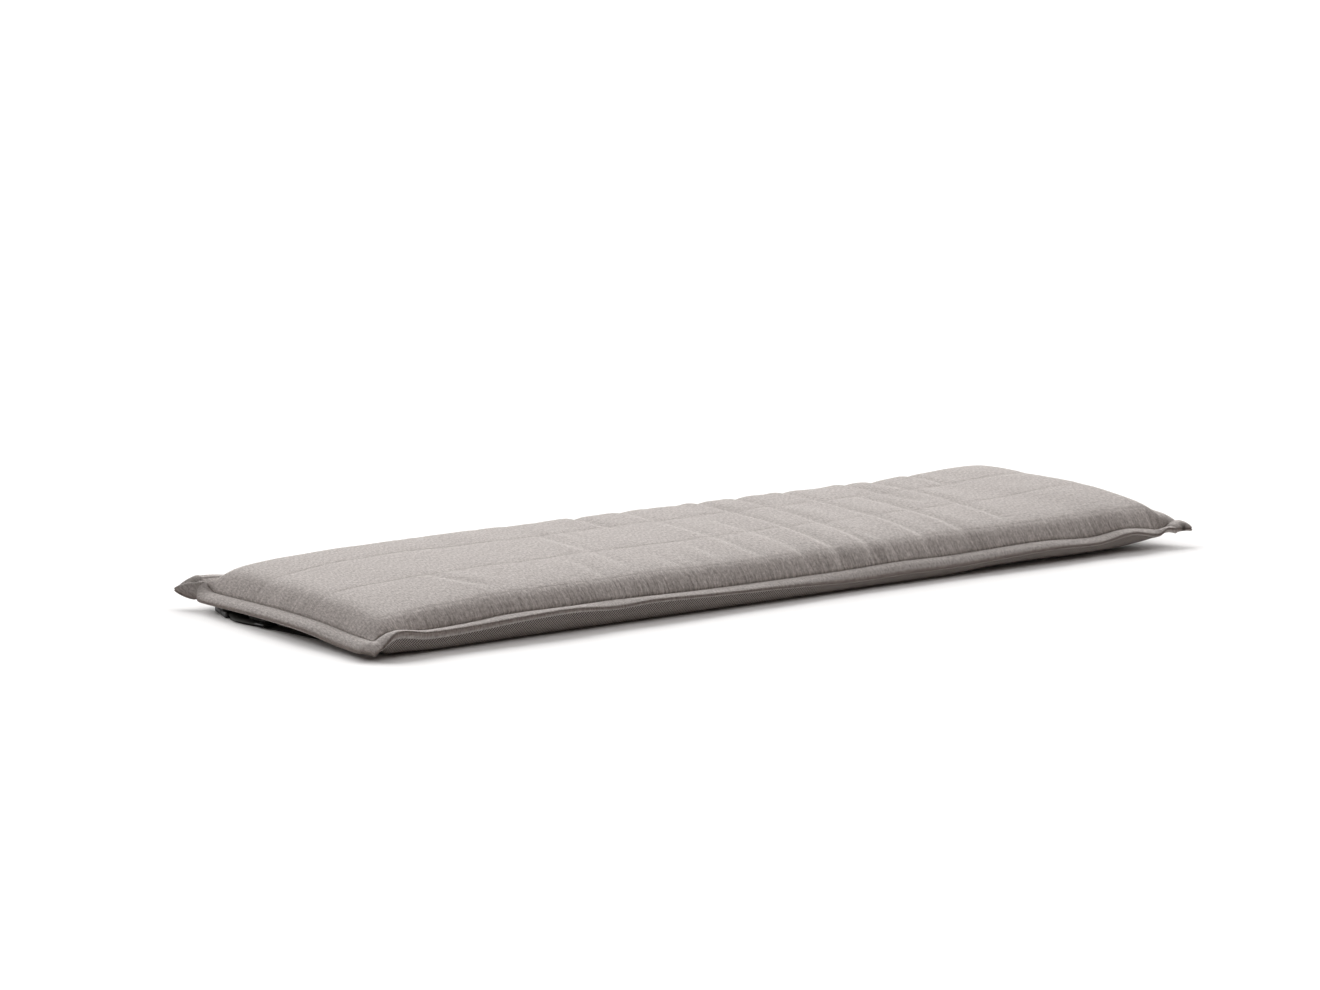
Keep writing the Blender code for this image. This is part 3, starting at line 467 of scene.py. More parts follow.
def folding(x, y):
    """Each fold is a narrow valley, with a soft swell on both of its sides."""
    share = (y + HALF_WIDTH) / PANEL_WIDTH
    height = np.zeros_like(x)
    for fold in FOLDS:
        offset = x - mix(fold.front, fold.back, share)
        near = np.abs(offset) < 3 * SWELL_WIDTH
        part, part_share = offset[near], share[near]
        strength = np.full_like(part, fold.depth)
        if fold.start > 0:
            strength = strength * smooth((part_share - fold.start) / FOLD_FADE)
        if fold.end < 1:
            strength = strength * smooth((fold.end - part_share) / FOLD_FADE)
        width = np.where(part > 0, FOLD_RIGHT, FOLD_LEFT)
        valley = np.exp(-((np.abs(part) / width) ** FOLD_POINT))
        swell = SWELL_SHARE * np.exp(-((part / SWELL_WIDTH) ** 2))
        height[near] += strength * (swell - valley)
    return height * held_by_threads(x, y)


def puckers(kind, place, distance, length, random):
    """Small ridges that start at a seam and fade away from it. place runs along the seam."""
    height = np.zeros_like(place)
    starts = -length / 2 + length * (np.arange(kind.count) + random.random(kind.count)) / kind.count
    heights = kind.height * random.uniform(*PUCKER_HEIGHTS, kind.count)
    widths = kind.width * random.uniform(*PUCKER_WIDTHS, kind.count)
    reaches = kind.reach * random.uniform(*PUCKER_REACHES, kind.count)
    slants = random.normal(0.0, PUCKER_SLANT, kind.count)
    for start, high, width, reach, slant in zip(starts, heights, widths, reaches, slants):
        offset = place - start - slant * distance
        near = np.abs(offset) < 3 * width
        run = np.abs(distance[near])
        fade = smooth(run / PUCKER_START) * np.exp(-((run / reach) ** 2))
        height[near] += high * fade * np.exp(-((offset[near] / width) ** 2))
    return height


def panel_puckers(x, y):
    """All that the seams and quilting threads draw in on the panel."""
    random = np.random.default_rng(RANDOM_SEED)
    height = puckers(FRONT_PUCKERS, x, y + HALF_WIDTH, PANEL_LENGTH, random)
    height += puckers(BACK_PUCKERS, x, HALF_WIDTH - y, PANEL_LENGTH, random)
    height += puckers(END_PUCKERS, y, x + HALF_LENGTH, PANEL_WIDTH, random)
    height += puckers(END_PUCKERS, y, HALF_LENGTH - x, PANEL_WIDTH, random)
    for number in range(len(QUILT_LINES)):
        height += puckers(LINE_PUCKERS, x, y - quilt_line_y(number, x), PANEL_LENGTH, random)
    return height


def unevenness(x, y):
    """The filling's slow lumps, as a few long waves in both directions."""
    random = np.random.default_rng(RANDOM_SEED + 1)
    height = np.zeros_like(x)
    for _ in range(LUMP_WAVES):
        along_x, along_y = random.uniform(*LUMP_TURNS_ALONG), random.uniform(*LUMP_TURNS_ACROSS)
        turn, high = random.uniform(0, 2 * math.pi), random.uniform(*LUMP_STRENGTHS)
        side = random.choice((-1, 1))
        height += high * np.sin(along_x * x + side * along_y * y + turn)
    return LUMP_HEIGHT * height


def panel_top(x, y):
    share = (y + HALF_WIDTH) / PANEL_WIDTH
    plateau = CROWN_HEIGHT + quilting(x, y) + folding(x, y) + unevenness(x, y)
    curl = smooth((x - TOP_CURL_START) / TOP_CURL_RUN) * smooth(share / TOP_CURL_FULL_AT)
    plateau = plateau + TOP_CURL * curl
    return mix(seam_height(x, y), plateau, fullness(x, y)) + panel_puckers(x, y)


def wall_share(distance, width):
    return 1 - (1 - np.clip(distance / width, 0.0, 1.0)) ** 2


def underside(x, y):
    share = np.clip((y + HALF_WIDTH) / PANEL_WIDTH, 0.0, 1.0)
    front = along(UNDERSIDE_LIFT, x, "front")
    level = np.maximum(0.0, mix(front, along(UNDERSIDE_LIFT, x, "back"), share))
    left_wall = mix(LEFT_WALL_AT_FRONT, LEFT_WALL_AT_BACK, share)
    down = (
        mix(wall_share(y + HALF_WIDTH, FRONT_WALL), 1, bulge(x, -1))
        * mix(wall_share(HALF_WIDTH - y, BACK_WALL), 1, bulge(x, 1))
        * wall_share(x + HALF_LENGTH, left_wall)
        * wall_share(HALF_LENGTH - x, RIGHT_WALL)
    )
    return mix(seam_height(x, y) - SEAM_THICKNESS, level, down)


def bulge(x, side):
    """How far the underside bulges out under the front or the back border."""
    front, back = along(UNDERSIDE_BULGE, x, "front"), along(UNDERSIDE_BULGE, x, "back")
    return np.clip(np.where(side < 0, front, back), 0.0, 1.0)


def leaned(x, y):
    """Columns of points lean with the folds, away from the ends."""
    share = np.clip((y + HALF_WIDTH) / PANEL_WIDTH, 0.0, 1.0)
    return x + LINE_LEAN * share * smooth((HALF_LENGTH - np.abs(x)) / LEAN_FADE)


def follow_threads(line_y, x):
    """Rows of points follow the quilting threads: a grid line's Y at this X."""
    marks = [-HALF_WIDTH] + [line.middle for line in QUILT_LINES] + [HALF_WIDTH]
    courses = [-HALF_WIDTH] + [quilt_line_y(k, x) for k in range(len(QUILT_LINES))]
    courses.append(HALF_WIDTH)
    y = np.zeros_like(x)
    for k in range(len(marks) - 1):
        inside = (line_y >= marks[k]) & (line_y <= marks[k + 1])
        share = (line_y - marks[k]) / (marks[k + 1] - marks[k])
        y = np.where(inside, mix(courses[k], courses[k + 1], share), y)
    return y


def by_side(rows, place, side, column):
    """The column's values at this place, from the first rows where side is negative."""
    return np.where(side < 0, along(rows[0], place, column), along(rows[1], place, column))


def rim_points(place, side, is_long):
    """The rim of a long border at this X, or of an end border at this Y. It stands out less
    in plan the more the border droops."""
    rows, half = (LONG_EDGES, HALF_WIDTH) if is_long else (END_EDGES, HALF_LENGTH)
    height = by_side(rows, place, side, "rim")
    drop = np.abs(by_side(rows, place, side, "seam") - height)
    reach = np.sqrt(BORDER_WIDTH**2 - np.minimum(drop, MOST_DROOP * BORDER_WIDTH) ** 2)
    out = side * (half + reach)
    return np.stack((place, out, height) if is_long else (out, place, height))


def blunt(out):
    """An arch over the border's width that is still high close to the rim."""
    return np.sqrt(np.clip(4 * out * (1 - out), 0, 1))


def border_middle(x, y, out_x, out_y):
    """Points halfway through the border, out_x and out_y being shares of its width."""
    side_x, side_y = np.sign(x), np.sign(y)
    inner = np.stack((x, y, seam_height(x, y)))
    tips = np.zeros_like(inner)
    for (tip_x, tip_y), tip in EAR_TIPS.items():
        here = (side_x == tip_x) & (side_y == tip_y)
        tips[:, here] = np.array(tip)[:, None]
    near = mix(inner, rim_points(y, side_x, False), out_x)
    far = mix(rim_points(x, side_y, True), tips, out_x)
    middle = mix(near, far, out_y)
    for (tip_x, tip_y), (long_arch, end_arch) in EAR_ARCHES.items():
        here = (side_x == tip_x) & (side_y == tip_y)
        arch = long_arch * blunt(out_x) * out_y + end_arch * blunt(out_y) * out_x
        arch = arch + EAR_FULLNESS * blunt(out_x) * blunt(out_y)
        middle[2] += np.where(here, arch, 0.0)
    return middle


def border_points(x, y, out_x, out_y, upper):
    """The border's upper or lower layer: a rolled band, a groove along the rim, and a lip."""
    out = np.maximum(out_x, out_y)
    divisor = np.maximum(out, LEAST_SHARE)
    middle = border_middle(x, y, out_x, out_y)
    if upper:
        rim = border_middle(x, y, out_x / divisor, out_y / divisor)
        drop = np.maximum(seam_height(x, y) - rim[2], LEAST_ROLL)
        roll = (1 - out**ROLL_POWER) ** (1 / ROLL_POWER) - (1 - out)
        lift = drop * roll + BAND_FULLNESS * np.sin(math.pi * out)
        off_rim = np.where(out > 0.5, middle[2] + lift - rim[2], np.inf)
    else:
        end_lip, long_lip = by_side(END_EDGES, y, x, "lip"), by_side(LONG_EDGES, x, y, "lip")
        lip = np.where(out_x > out_y, end_lip, long_lip)
        turned = np.clip((1 - out) / LIP_REACH, 0, 1)
        hang = lip * np.sqrt(np.clip(1 - (1 - turned) ** 2, 0, 1))
        inward = np.clip(out / (1 - LIP_REACH), 0, 1)
        free = middle[2] - mix(SEAM_THICKNESS, lip, smooth(inward))
        free = np.maximum(free, LOWEST_BORDER)
        foot = underside(x, y)
        bulging = foot + (middle[2] - lip - foot) * (1 - np.sqrt(1 - inward**2))
        share = bulge(x, np.sign(y)) * (1 - smooth(out_x)) * (out_y > 0)
        lift = np.where(out > 1 - LIP_REACH, -hang, mix(free, bulging, share) - middle[2])
        off_rim = np.where(out > 1 - LIP_REACH, hang, lip)
    pull = RIM_GROOVE * np.exp(-((off_rim / RIM_GROOVE_HEIGHT) ** 2)) / BORDER_WIDTH
    shrink = (out - pull) / divisor
    points = border_middle(x, y, out_x * shrink, out_y * shrink)
    points[2] = middle[2] + lift
    return points


def band_puckers(x, y, out):
    """Small ridges across the band, drawn in by the stitched seam."""
    random = np.random.default_rng(RANDOM_SEED + 2)
    distance = out * BORDER_WIDTH
    long = puckers(BAND_PUCKERS, x, distance, PANEL_LENGTH, random)
    short = puckers(BAND_PUCKERS, y, distance, PANEL_LENGTH, random)
    return np.where(np.abs(y) >= HALF_WIDTH - ROUNDING, long, short)


def border_shares(line_x, line_y):
    """How far out in the border a point of the net lies, along both axes, as shares."""
    out_x = np.clip((np.abs(line_x) - HALF_LENGTH) / BORDER_WIDTH, 0.0, 1.0)
    out_y = np.clip((np.abs(line_y) - HALF_WIDTH) / BORDER_WIDTH, 0.0, 1.0)
    return out_x, out_y


def ear_spots(line_x, line_y):
    """1 in the small openings where an ear is folded over, 0 away from them."""
    out_x, out_y = border_shares(line_x, line_y)
    depth = 0.0
    for spot in EAR_SPOTS:
        here = (np.sign(line_x) == spot.side_x) & (np.sign(line_y) == spot.side_y)
        offset = ((out_x - spot.out_x) / spot.size) ** 2 + ((out_y - spot.out_y) / spot.size) ** 2
        depth = np.maximum(depth, here * np.exp(-offset))
    return depth


def cover_layer(line_x, line_y, upper):
    """The points of the cover's upper or lower layer on this net of grid lines."""
    out_x, out_y = border_shares(line_x, line_y)
    held_y = np.clip(line_y, -HALF_WIDTH, HALF_WIDTH)
    x = np.clip(leaned(line_x, held_y), -HALF_LENGTH, HALF_LENGTH)
    y = follow_threads(held_y, x)
    border = border_points(x, y, out_x, out_y, upper)
    out = np.maximum(out_x, out_y)
    if upper:
        border[2] += band_puckers(x, y, out)
        border[2] -= SPOT_DEPTH * ear_spots(line_x, line_y)
    return np.where(out > 0, border, panel_layer(x, y, upper))


def panel_layer(x, y, upper):
    if not upper:
        return np.stack((x, y, underside(x, y)))
    top = panel_top(x, y)
    overhang_y = overhang(HALF_WIDTH - y) - overhang(y + HALF_WIDTH)
    overhang_x = overhang(HALF_LENGTH - x) - overhang(x + HALF_LENGTH)
    folded = folding(x, y) * (on_face(HALF_WIDTH - y) - on_face(y + HALF_WIDTH))
    return np.stack((x + overhang_x, y + overhang_y + folded, top))


def on_face(distance):
    """1 on the steep face beside a seam, 0 on the seam itself and on top."""
    return np.exp(-distance / FACE_REACH) * (1 - np.exp(-distance / FACE_START))


def overhang(distance):
    """The full panel leans out over its seams."""
    share = distance / OVERHANG_AT
    return OVERHANG * share * np.exp(1 - share)


def spread(start, end, spacing):
    """Evenly spaced places from start, up to but without end."""
    steps = max(1, round((end - start) / spacing))
    return [mix(start, end, k / steps) for k in range(steps)]


def grid_lines(half, fine_places, spacing, band_rows):
    """Grid lines in one direction: band, shoulder, fine places, band, evenly filled in."""
    shoulder = [half - distance for distance in SHOULDER_ROWS]
    band = [half + share * BORDER_WIDTH for share in band_rows]
    fixed = sorted([-s for s in shoulder] + fine_places + shoulder)
    lines = [-b for b in reversed(band)]
    for low, high in zip(fixed, fixed[1:]):
        lines += spread(low, high, spacing)
    return np.array(lines + [fixed[-1]] + band)


def cover_net(upper):
    """The grid lines of a layer, as two arrays over all its points."""
    band_rows = UPPER_BAND_ROWS if upper else LOWER_BAND_ROWS
    columns = grid_lines(HALF_LENGTH, [], COLUMN_SPACING, band_rows)
    channels = [line.middle + step for line in QUILT_LINES for step in CHANNEL_ROWS]
    rows = grid_lines(HALF_WIDTH, channels, ROW_SPACING, band_rows)
    return np.meshgrid(columns, rows, indexing="ij")


def cloth_lengths(points):
    """How far each point lies from the middle, measured along the cloth in both directions."""
    lengths = []
    for axis in (0, 1):
        steps = np.linalg.norm(np.diff(points, axis=axis + 1), axis=0)
        start = np.zeros_like(np.take(steps, [0], axis))
        total = np.concatenate((start, np.cumsum(steps, axis=axis)), axis=axis)
        lengths.append(total - np.take(total, [total.shape[axis] // 2], axis))
    return lengths


def groove_shade_mask(line_x, line_y):
    """How much shade is painted: 1 deep in the groove along the rim, less at the foot of the panel,
    0 away from them.
    """
    out_x = (np.abs(line_x) - HALF_LENGTH) / BORDER_WIDTH
    out_y = (np.abs(line_y) - HALF_WIDTH) / BORDER_WIDTH
    from_seam = np.maximum(out_x, out_y) * BORDER_WIDTH
    rim = np.exp(-(((from_seam - BORDER_WIDTH) / RIM_SHADE_WIDTH) ** 2))
    foot = np.exp(-((from_seam / FOOT_SHADE_WIDTH) ** 2))
    return np.maximum(rim, FOOT_SHADE * foot)


def drawn_by_long_seams(line_x, line_y):
    """1 on the front and back faces, which their seams draw in, 0 away from them."""
    return drawn_in(HALF_WIDTH - np.abs(line_y), HALF_LENGTH - np.abs(line_x))


def drawn_by_end_seams(line_x, line_y):
    """How far the two end faces are drawn in by their seams, 0 away from them."""
    return END_DRAWING * drawn_in(HALF_LENGTH - np.abs(line_x), HALF_WIDTH - np.abs(line_y))


def drawn_in(distance, other_distance):
    """How far a seam at this distance draws in the panel, where the other seam is no nearer."""
    nearest = np.minimum(distance, other_distance)
    reach = np.exp(-((distance / DRAWN_REACH) ** 2))
    nearer = smooth(0.5 + (other_distance - distance) / DRAWN_REACH)
    return np.where(nearest > 0, reach * nearer, 0.0)


def add_object(name, data):
    """A new object in the scene that shows this mesh, camera or lamp."""
    obj = bpy.data.objects.new(name, data)
    bpy.context.scene.collection.objects.link(obj)
    return obj


def quad_faces(index, columns, rows, flip):
    """The quads between these columns and rows of a net of point numbers."""
    a, b = index[np.ix_(columns[:-1], rows[:-1])], index[np.ix_(columns[1:], rows[:-1])]
    c, d = index[np.ix_(columns[1:], rows[1:])], index[np.ix_(columns[:-1], rows[1:])]
    corners = (d, c, b, a) if flip else (a, b, c, d)
    return [tuple(map(int, face)) for face in np.stack(corners, axis=-1).reshape(-1, 4)]


def lower_faces(index):
    """The faces of the lower layer: fine at its edges, a few large ones where it lies flat."""
    last_column, last_row = index.shape[0] - 1, index.shape[1] - 1
    edge = len(LOWER_BAND_ROWS) + len(SHOULDER_ROWS) + FLAT_MARGIN
    columns, rows = np.arange(last_column + 1), np.arange(last_row + 1)
    faces = quad_faces(index, columns[: edge + 1], rows, True)
    faces += quad_faces(index, columns[last_column - edge :], rows, True)
    middle = columns[edge : last_column - edge + 1]
    faces += quad_faces(index, middle, rows[: edge + 1], True)
    faces += quad_faces(index, middle, rows[last_row - edge :], True)
    column_marks = list(range(edge, last_column - edge, BLOCK)) + [last_column - edge]
    row_marks = list(range(edge, last_row - edge, BLOCK)) + [last_row - edge]
    for left, right in zip(column_marks, column_marks[1:]):
        for low, high in zip(row_marks, row_marks[1:]):
            bottom = range(left, right) if low == edge else [left]
            side = range(low, high) if right == column_marks[-1] else [low]
            top = range(right, left, -1) if high == row_marks[-1] else [right]
            back = range(high, low, -1) if left == edge else [high]
            around = [index[i, low] for i in bottom]
            around += [index[right, j] for j in side]
            around += [index[i, high] for i in top]
            around += [index[left, j] for j in back]
            faces.append(tuple(int(k) for k in reversed(around)))
    return faces


def add_cover_values(mesh, layers):
    """What the materials read at each point: its place along the cloth, and four values
    from 0 to 1."""
    runs = [np.stack([run.ravel() for run in cloth_lengths(layer)], axis=-1) for layer in layers]
    cloth = np.pad(np.concatenate(runs), ((0, 0), (0, 1)))
    attribute = mesh.attributes.new("cloth", "FLOAT_VECTOR", "POINT")
    attribute.data.foreach_set("vector", cloth.ravel())
    # Two of these values say where shade is painted: in the grooves and in the ears' openings
    for name, measure in (
        ("painted_groove_shade", groove_shade_mask),
        ("painted_opening_shadow", ear_spots),
        ("drawn_long", drawn_by_long_seams),
        ("drawn_end", drawn_by_end_seams),
    ):
        values = np.concatenate([measure(*cover_net(upper)).ravel() for upper in (True, False)])
        attribute = mesh.attributes.new(name, "FLOAT", "POINT")
        attribute.data.foreach_set("value", values)


def make_cover():
    """The whole cover as one closed mesh: two layers that share the points of the rim."""
    layers = [cover_layer(*cover_net(upper), upper) for upper in (True, False)]
    count_x, count_y = layers[0].shape[1:]
    upper_index = np.arange(count_x * count_y).reshape(count_x, count_y)
    lower_index = upper_index + count_x * count_y
    lower_index[[0, -1], :] = upper_index[[0, -1], :]
    lower_index[:, [0, -1]] = upper_index[:, [0, -1]]
    top_faces = quad_faces(upper_index, np.arange(count_x), np.arange(count_y), False)
    points = np.concatenate([layer.reshape(3, -1) for layer in layers], axis=1).T
    mesh = bpy.data.meshes.new("cushion_cover")
    mesh.from_pydata(points, [], top_faces + lower_faces(lower_index))
    add_cover_values(mesh, layers)
    lip_rows = len([share for share in LOWER_BAND_ROWS if share > 1 - LIP_REACH])
    twill_points = set(lower_index[lip_rows:-lip_rows, lip_rows:-lip_rows].ravel().tolist())
    for polygon in mesh.polygons[len(top_faces) :]:
        polygon.material_index = int(all(k in twill_points for k in polygon.vertices))
    mesh.shade_smooth()
    remove_loose_points(mesh)
    return add_object("cushion_cover", mesh)


def stitch_rows(path, pitch, radius):
    """The points and faces of a row of stitches along this path over the cloth: short
    spindles that dip into the cloth at both ends."""
    steps = np.linalg.norm(np.diff(path, axis=0), axis=1)
    runs = np.concatenate(([0.0], np.cumsum(steps)))
    starts = np.arange(0.0, runs[-1] - pitch, pitch)
    places = starts[:, None] + pitch * np.array(STITCH_PLACES)[None, :]
    middle = np.stack([np.interp(places, runs, path[:, axis]) for axis in range(3)], axis=-1)
    middle[..., 2] += radius * np.array(STITCH_LIFTS)[None, :]
    heading = middle[:, -1, :] - middle[:, 0, :]
    across = np.stack((heading[:, 1], -heading[:, 0], np.zeros(len(starts))), axis=-1)
    across /= np.linalg.norm(across, axis=1)[:, None]
    sizes = radius * np.array(STITCH_SIZES)[None, :, None]
    rings = []
    for side, up in STITCH_SIDES:
        offset = side * across[:, None, :] * sizes + up * sizes * np.array((0.0, 0.0, 1.0))
        rings.append(middle + offset)
    points = np.stack(rings, axis=2).reshape(-1, 3)
    faces = []
    around = len(STITCH_SIDES)
    per_stitch = around * len(STITCH_PLACES)
    for first in range(0, len(points), per_stitch):
        last = first + per_stitch - around
        for ring in range(first, last, around):
            for k in range(around):
                n = (k + 1) % around
                faces.append((ring + k, ring + n, ring + around + n, ring + around + k))
        faces.append(tuple(range(first + around - 1, first - 1, -1)))
        faces.append(tuple(range(last, last + around)))
    return points, faces


def make_stitches(name, paths, pitch, radius):
    """Rows of stitches as one piece."""
    all_points, all_faces = [], []
    for path in paths:
        points, faces = stitch_rows(path, pitch, radius)
        base = sum(len(group) for group in all_points)
        all_points.append(points)
        all_faces += [tuple(base + k for k in face) for face in faces]
    mesh = bpy.data.meshes.new(name)
    mesh.from_pydata(np.concatenate(all_points), [], all_faces)
    mesh.shade_smooth()
    return add_object(name, mesh)


def quilt_paths():
    """The course of each quilting thread over the panel."""
    x = np.linspace(-HALF_LENGTH, HALF_LENGTH, PATH_POINTS)
    paths = []
    for number in range(len(QUILT_LINES)):
        paths.append(panel_layer(x, quilt_line_y(number, x), True).T)
    return paths


def border_paths():
    """The seam's stitches round the panel, on the border's upper layer."""
    along_edge = np.linspace(-1, 1, PATH_POINTS)
    paths = []
    for side in (-1, 1):
        x, y = along_edge * HALF_LENGTH, np.full(PATH_POINTS, side * HALF_WIDTH)
        out = np.full(PATH_POINTS, SEAM_STITCHES_AT)
        paths.append(border_points(x, y, np.zeros(PATH_POINTS), out, True).T)
        y, x = along_edge * HALF_WIDTH, np.full(PATH_POINTS, side * HALF_LENGTH)
        paths.append(border_points(x, y, out, np.zeros(PATH_POINTS), True).T)
    return paths


def softened_copy(node, name):
    """A finer copy of a webbing node, its hard edges rounded off."""
    bm = bmesh.new()
    bm.from_mesh(node.data)
    bmesh.ops.remove_doubles(bm, verts=bm.verts[:], dist=MERGE_DISTANCE)
    bmesh.ops.join_triangles(
        bm, faces=bm.faces[:], angle_face_threshold=FLAT_ANGLE, angle_shape_threshold=FLAT_ANGLE
    )
    mesh = bpy.data.meshes.new(name)
    bm.to_mesh(mesh)
    bm.free()
    obj = add_object(name, mesh)
    smoothing = obj.modifiers.new("smoothing", "SUBSURF")
    smoothing.levels = WEBBING_LEVELS
    smoothing.render_levels = WEBBING_LEVELS
    graph = bpy.context.evaluated_depsgraph_get()
    fine = bpy.data.meshes.new_from_object(obj.evaluated_get(graph))
    obj.modifiers.clear()
    obj.data = fine
    bpy.data.meshes.remove(mesh)
    fine.name = name
    fine.shade_smooth()
    return obj


def remove_loose_points(mesh):
    """The lower layer's large faces and the shared rim leave points that no face uses."""
    bm = bmesh.new()
    bm.from_mesh(mesh)
    bmesh.ops.delete(bm, geom=[v for v in bm.verts if not v.link_faces], context="VERTS")
    bm.to_mesh(mesh)
    bm.free()


# ---------------------------------------------------------------------------------------
# Materials
# ---------------------------------------------------------------------------------------

# Painted shade: what the cloth's colour is multiplied by in the sewn grooves, and painted shadow in
# the ears' openings
PAINTED_GROOVE_SHADE = (0.62, 0.57, 0.55)
OPENING_PAINTED_SHADOW = (0.10, 0.09, 0.08)

# Woven melange: light and taupe yarns, about a millimetre apart. Here and below, a grain's
# three numbers are how many waves of noise there are to a metre along each axis.
YARN_LIGHT = (0.655, 0.612, 0.586)
YARN_DARK = (0.365, 0.330, 0.314)
YARN_PITCH = 0.0011
YARNS_ACROSS = (430, 140, 0)
YARNS_ALONG = (160, 460, 0)
CLOUDS = (14, 20, 0)
CLOUD_SHADE = (0.955, 0.955, 0.955)

# The streaks that the seams draw into the steep faces, raised in the bump and painted in the colour
# as light and shade: their grain for each of the cover's two values that say where they are
STREAK_PAINTED_LIGHT = (1.20, 1.18, 1.18)
STREAK_PAINTED_SHADE = (0.78, 0.76, 0.75)
STREAKS = {"drawn_long": (210, 16, 0), "drawn_end": (16, 210, 0)}

THREAD_LIGHT = (0.560, 0.525, 0.500)
THREAD_DARK = (0.430, 0.395, 0.375)
THREAD_GRAIN = (2400, 2400, 2400)
TWILL_LIGHT = (0.420, 0.375, 0.348)
TWILL_DARK = (0.070, 0.060, 0.055)
TWILL_PITCH = 0.0042
TWILL_RIB = 0.80
TWILL_CROSS = 0.40
TWILL_GRAIN = (420, 420, 0)
WEBBING_LIGHT = (0.070, 0.068, 0.060)
WEBBING_DARK = (0.020, 0.020, 0.018)
WEBBING_RIB_PITCH = 0.0016
WEBBING_COLUMN_PITCH = 0.0021
WEBBING_GRAIN = (900, 900, 900)
PLASTIC_LIGHT = (0.014, 0.014, 0.013)
PLASTIC_DARK = (0.008, 0.008, 0.008)
PLASTIC_GRAIN = (1600, 1600, 1600)
FLOOR_COLOR = (0.92, 0.92, 0.92, 1)


class Graph:
    """A material's nodes, made and joined in short lines."""

    def __init__(self, name):
        self.material = bpy.data.materials.new(name)
        self.material.use_nodes = True
        self.tree = self.material.node_tree
        self.shader = self.tree.nodes["Principled BSDF"]

    def set(self, socket, source):
        if isinstance(source, bpy.types.NodeSocket):
            self.tree.links.new(source, socket)
        else:
            socket.default_value = source

    def node(self, kind, inputs=(), **settings):
        node = self.tree.nodes.new(kind)
        for name, value in settings.items():
            setattr(node, name, value)
        for name, source in dict(inputs).items():
            self.set(node.inputs[name], source)
        return node

    def math(self, operation, first, second=0.0):
        node = self.node("ShaderNodeMath", operation=operation)
        self.set(node.inputs[0], first)
        self.set(node.inputs[1], second)
        return node.outputs[0]

    def plus(self, total, value, weight):
        """The total and this much of the value."""
        return self.math("ADD", total, self.math("MULTIPLY", value, weight))

    def cloth(self):
        """The place along the cloth, in metres."""
        node = self.node("ShaderNodeAttribute", attribute_name="cloth")
        return node.outputs["Vector"]

    def place_value(self, name):
        """A value that the cover's mesh carries at each of its points."""
        return self.node("ShaderNodeAttribute", attribute_name=name).outputs["Fac"]

    def noise(self, vector, scale, detail=2.0, roughness=0.5):
        node = self.node("ShaderNodeVectorMath", operation="MULTIPLY")
        self.set(node.inputs[0], vector)
        node.inputs[1].default_value = scale
        inputs = {
            "Vector": node.outputs[0], "Scale": 1.0, "Detail": detail, "Roughness": roughness,
        }
        return self.node("ShaderNodeTexNoise", inputs).outputs["Fac"]

    def ramp(self, value, low, high, first, second):
        """first below low, second above high, colours mixed in between."""
        node = self.node("ShaderNodeValToRGB", {"Fac": value})
        node.color_ramp.elements[0].position = low
        node.color_ramp.elements[0].color = (*first, 1)
        node.color_ramp.elements[1].position = high
        node.color_ramp.elements[1].color = (*second, 1)
        return node.outputs["Color"]

    def blend(self, kind, factor, first, second):
        node = self.node("ShaderNodeMix", data_type="RGBA", blend_type=kind)
        self.set(node.inputs["Factor"], factor)
        self.set(node.inputs[6], first)
        self.set(node.inputs[7], second)
        return node.outputs[2]

    def with_painted_shade(self, color):
        """The colour with painted shade along the sewn grooves and a painted shadow in the ears'
        openings.
        """
        creased = self.blend("MULTIPLY", self.place_value("painted_groove_shade"), color, (*PAINTED_GROOVE_SHADE, 1))
        return self.blend("MULTIPLY", self.place_value("painted_opening_shadow"), creased, (*OPENING_PAINTED_SHADOW, 1))

    def surface(self, color, roughness, specular=0.5):
        self.set(self.shader.inputs["Base Color"], color)
        self.set(self.shader.inputs["Roughness"], roughness)
        self.shader.inputs["Specular IOR Level"].default_value = specular

    def bump(self, height, distance, strength):
        inputs = {"Height": height, "Distance": distance, "Strength": strength}
        node = self.node("ShaderNodeBump", inputs)
        self.set(self.shader.inputs["Normal"], node.outputs["Normal"])


def wave(graph, value, pitch):
    """A sine of this value, once each pitch."""
    turns = graph.math("MULTIPLY", value, 2 * math.pi / pitch)
    return graph.math("SINE", turns)


def axes(graph, vector):
    node = graph.node("ShaderNodeSeparateXYZ", {"Vector": vector})
    return node.outputs["X"], node.outputs["Y"]


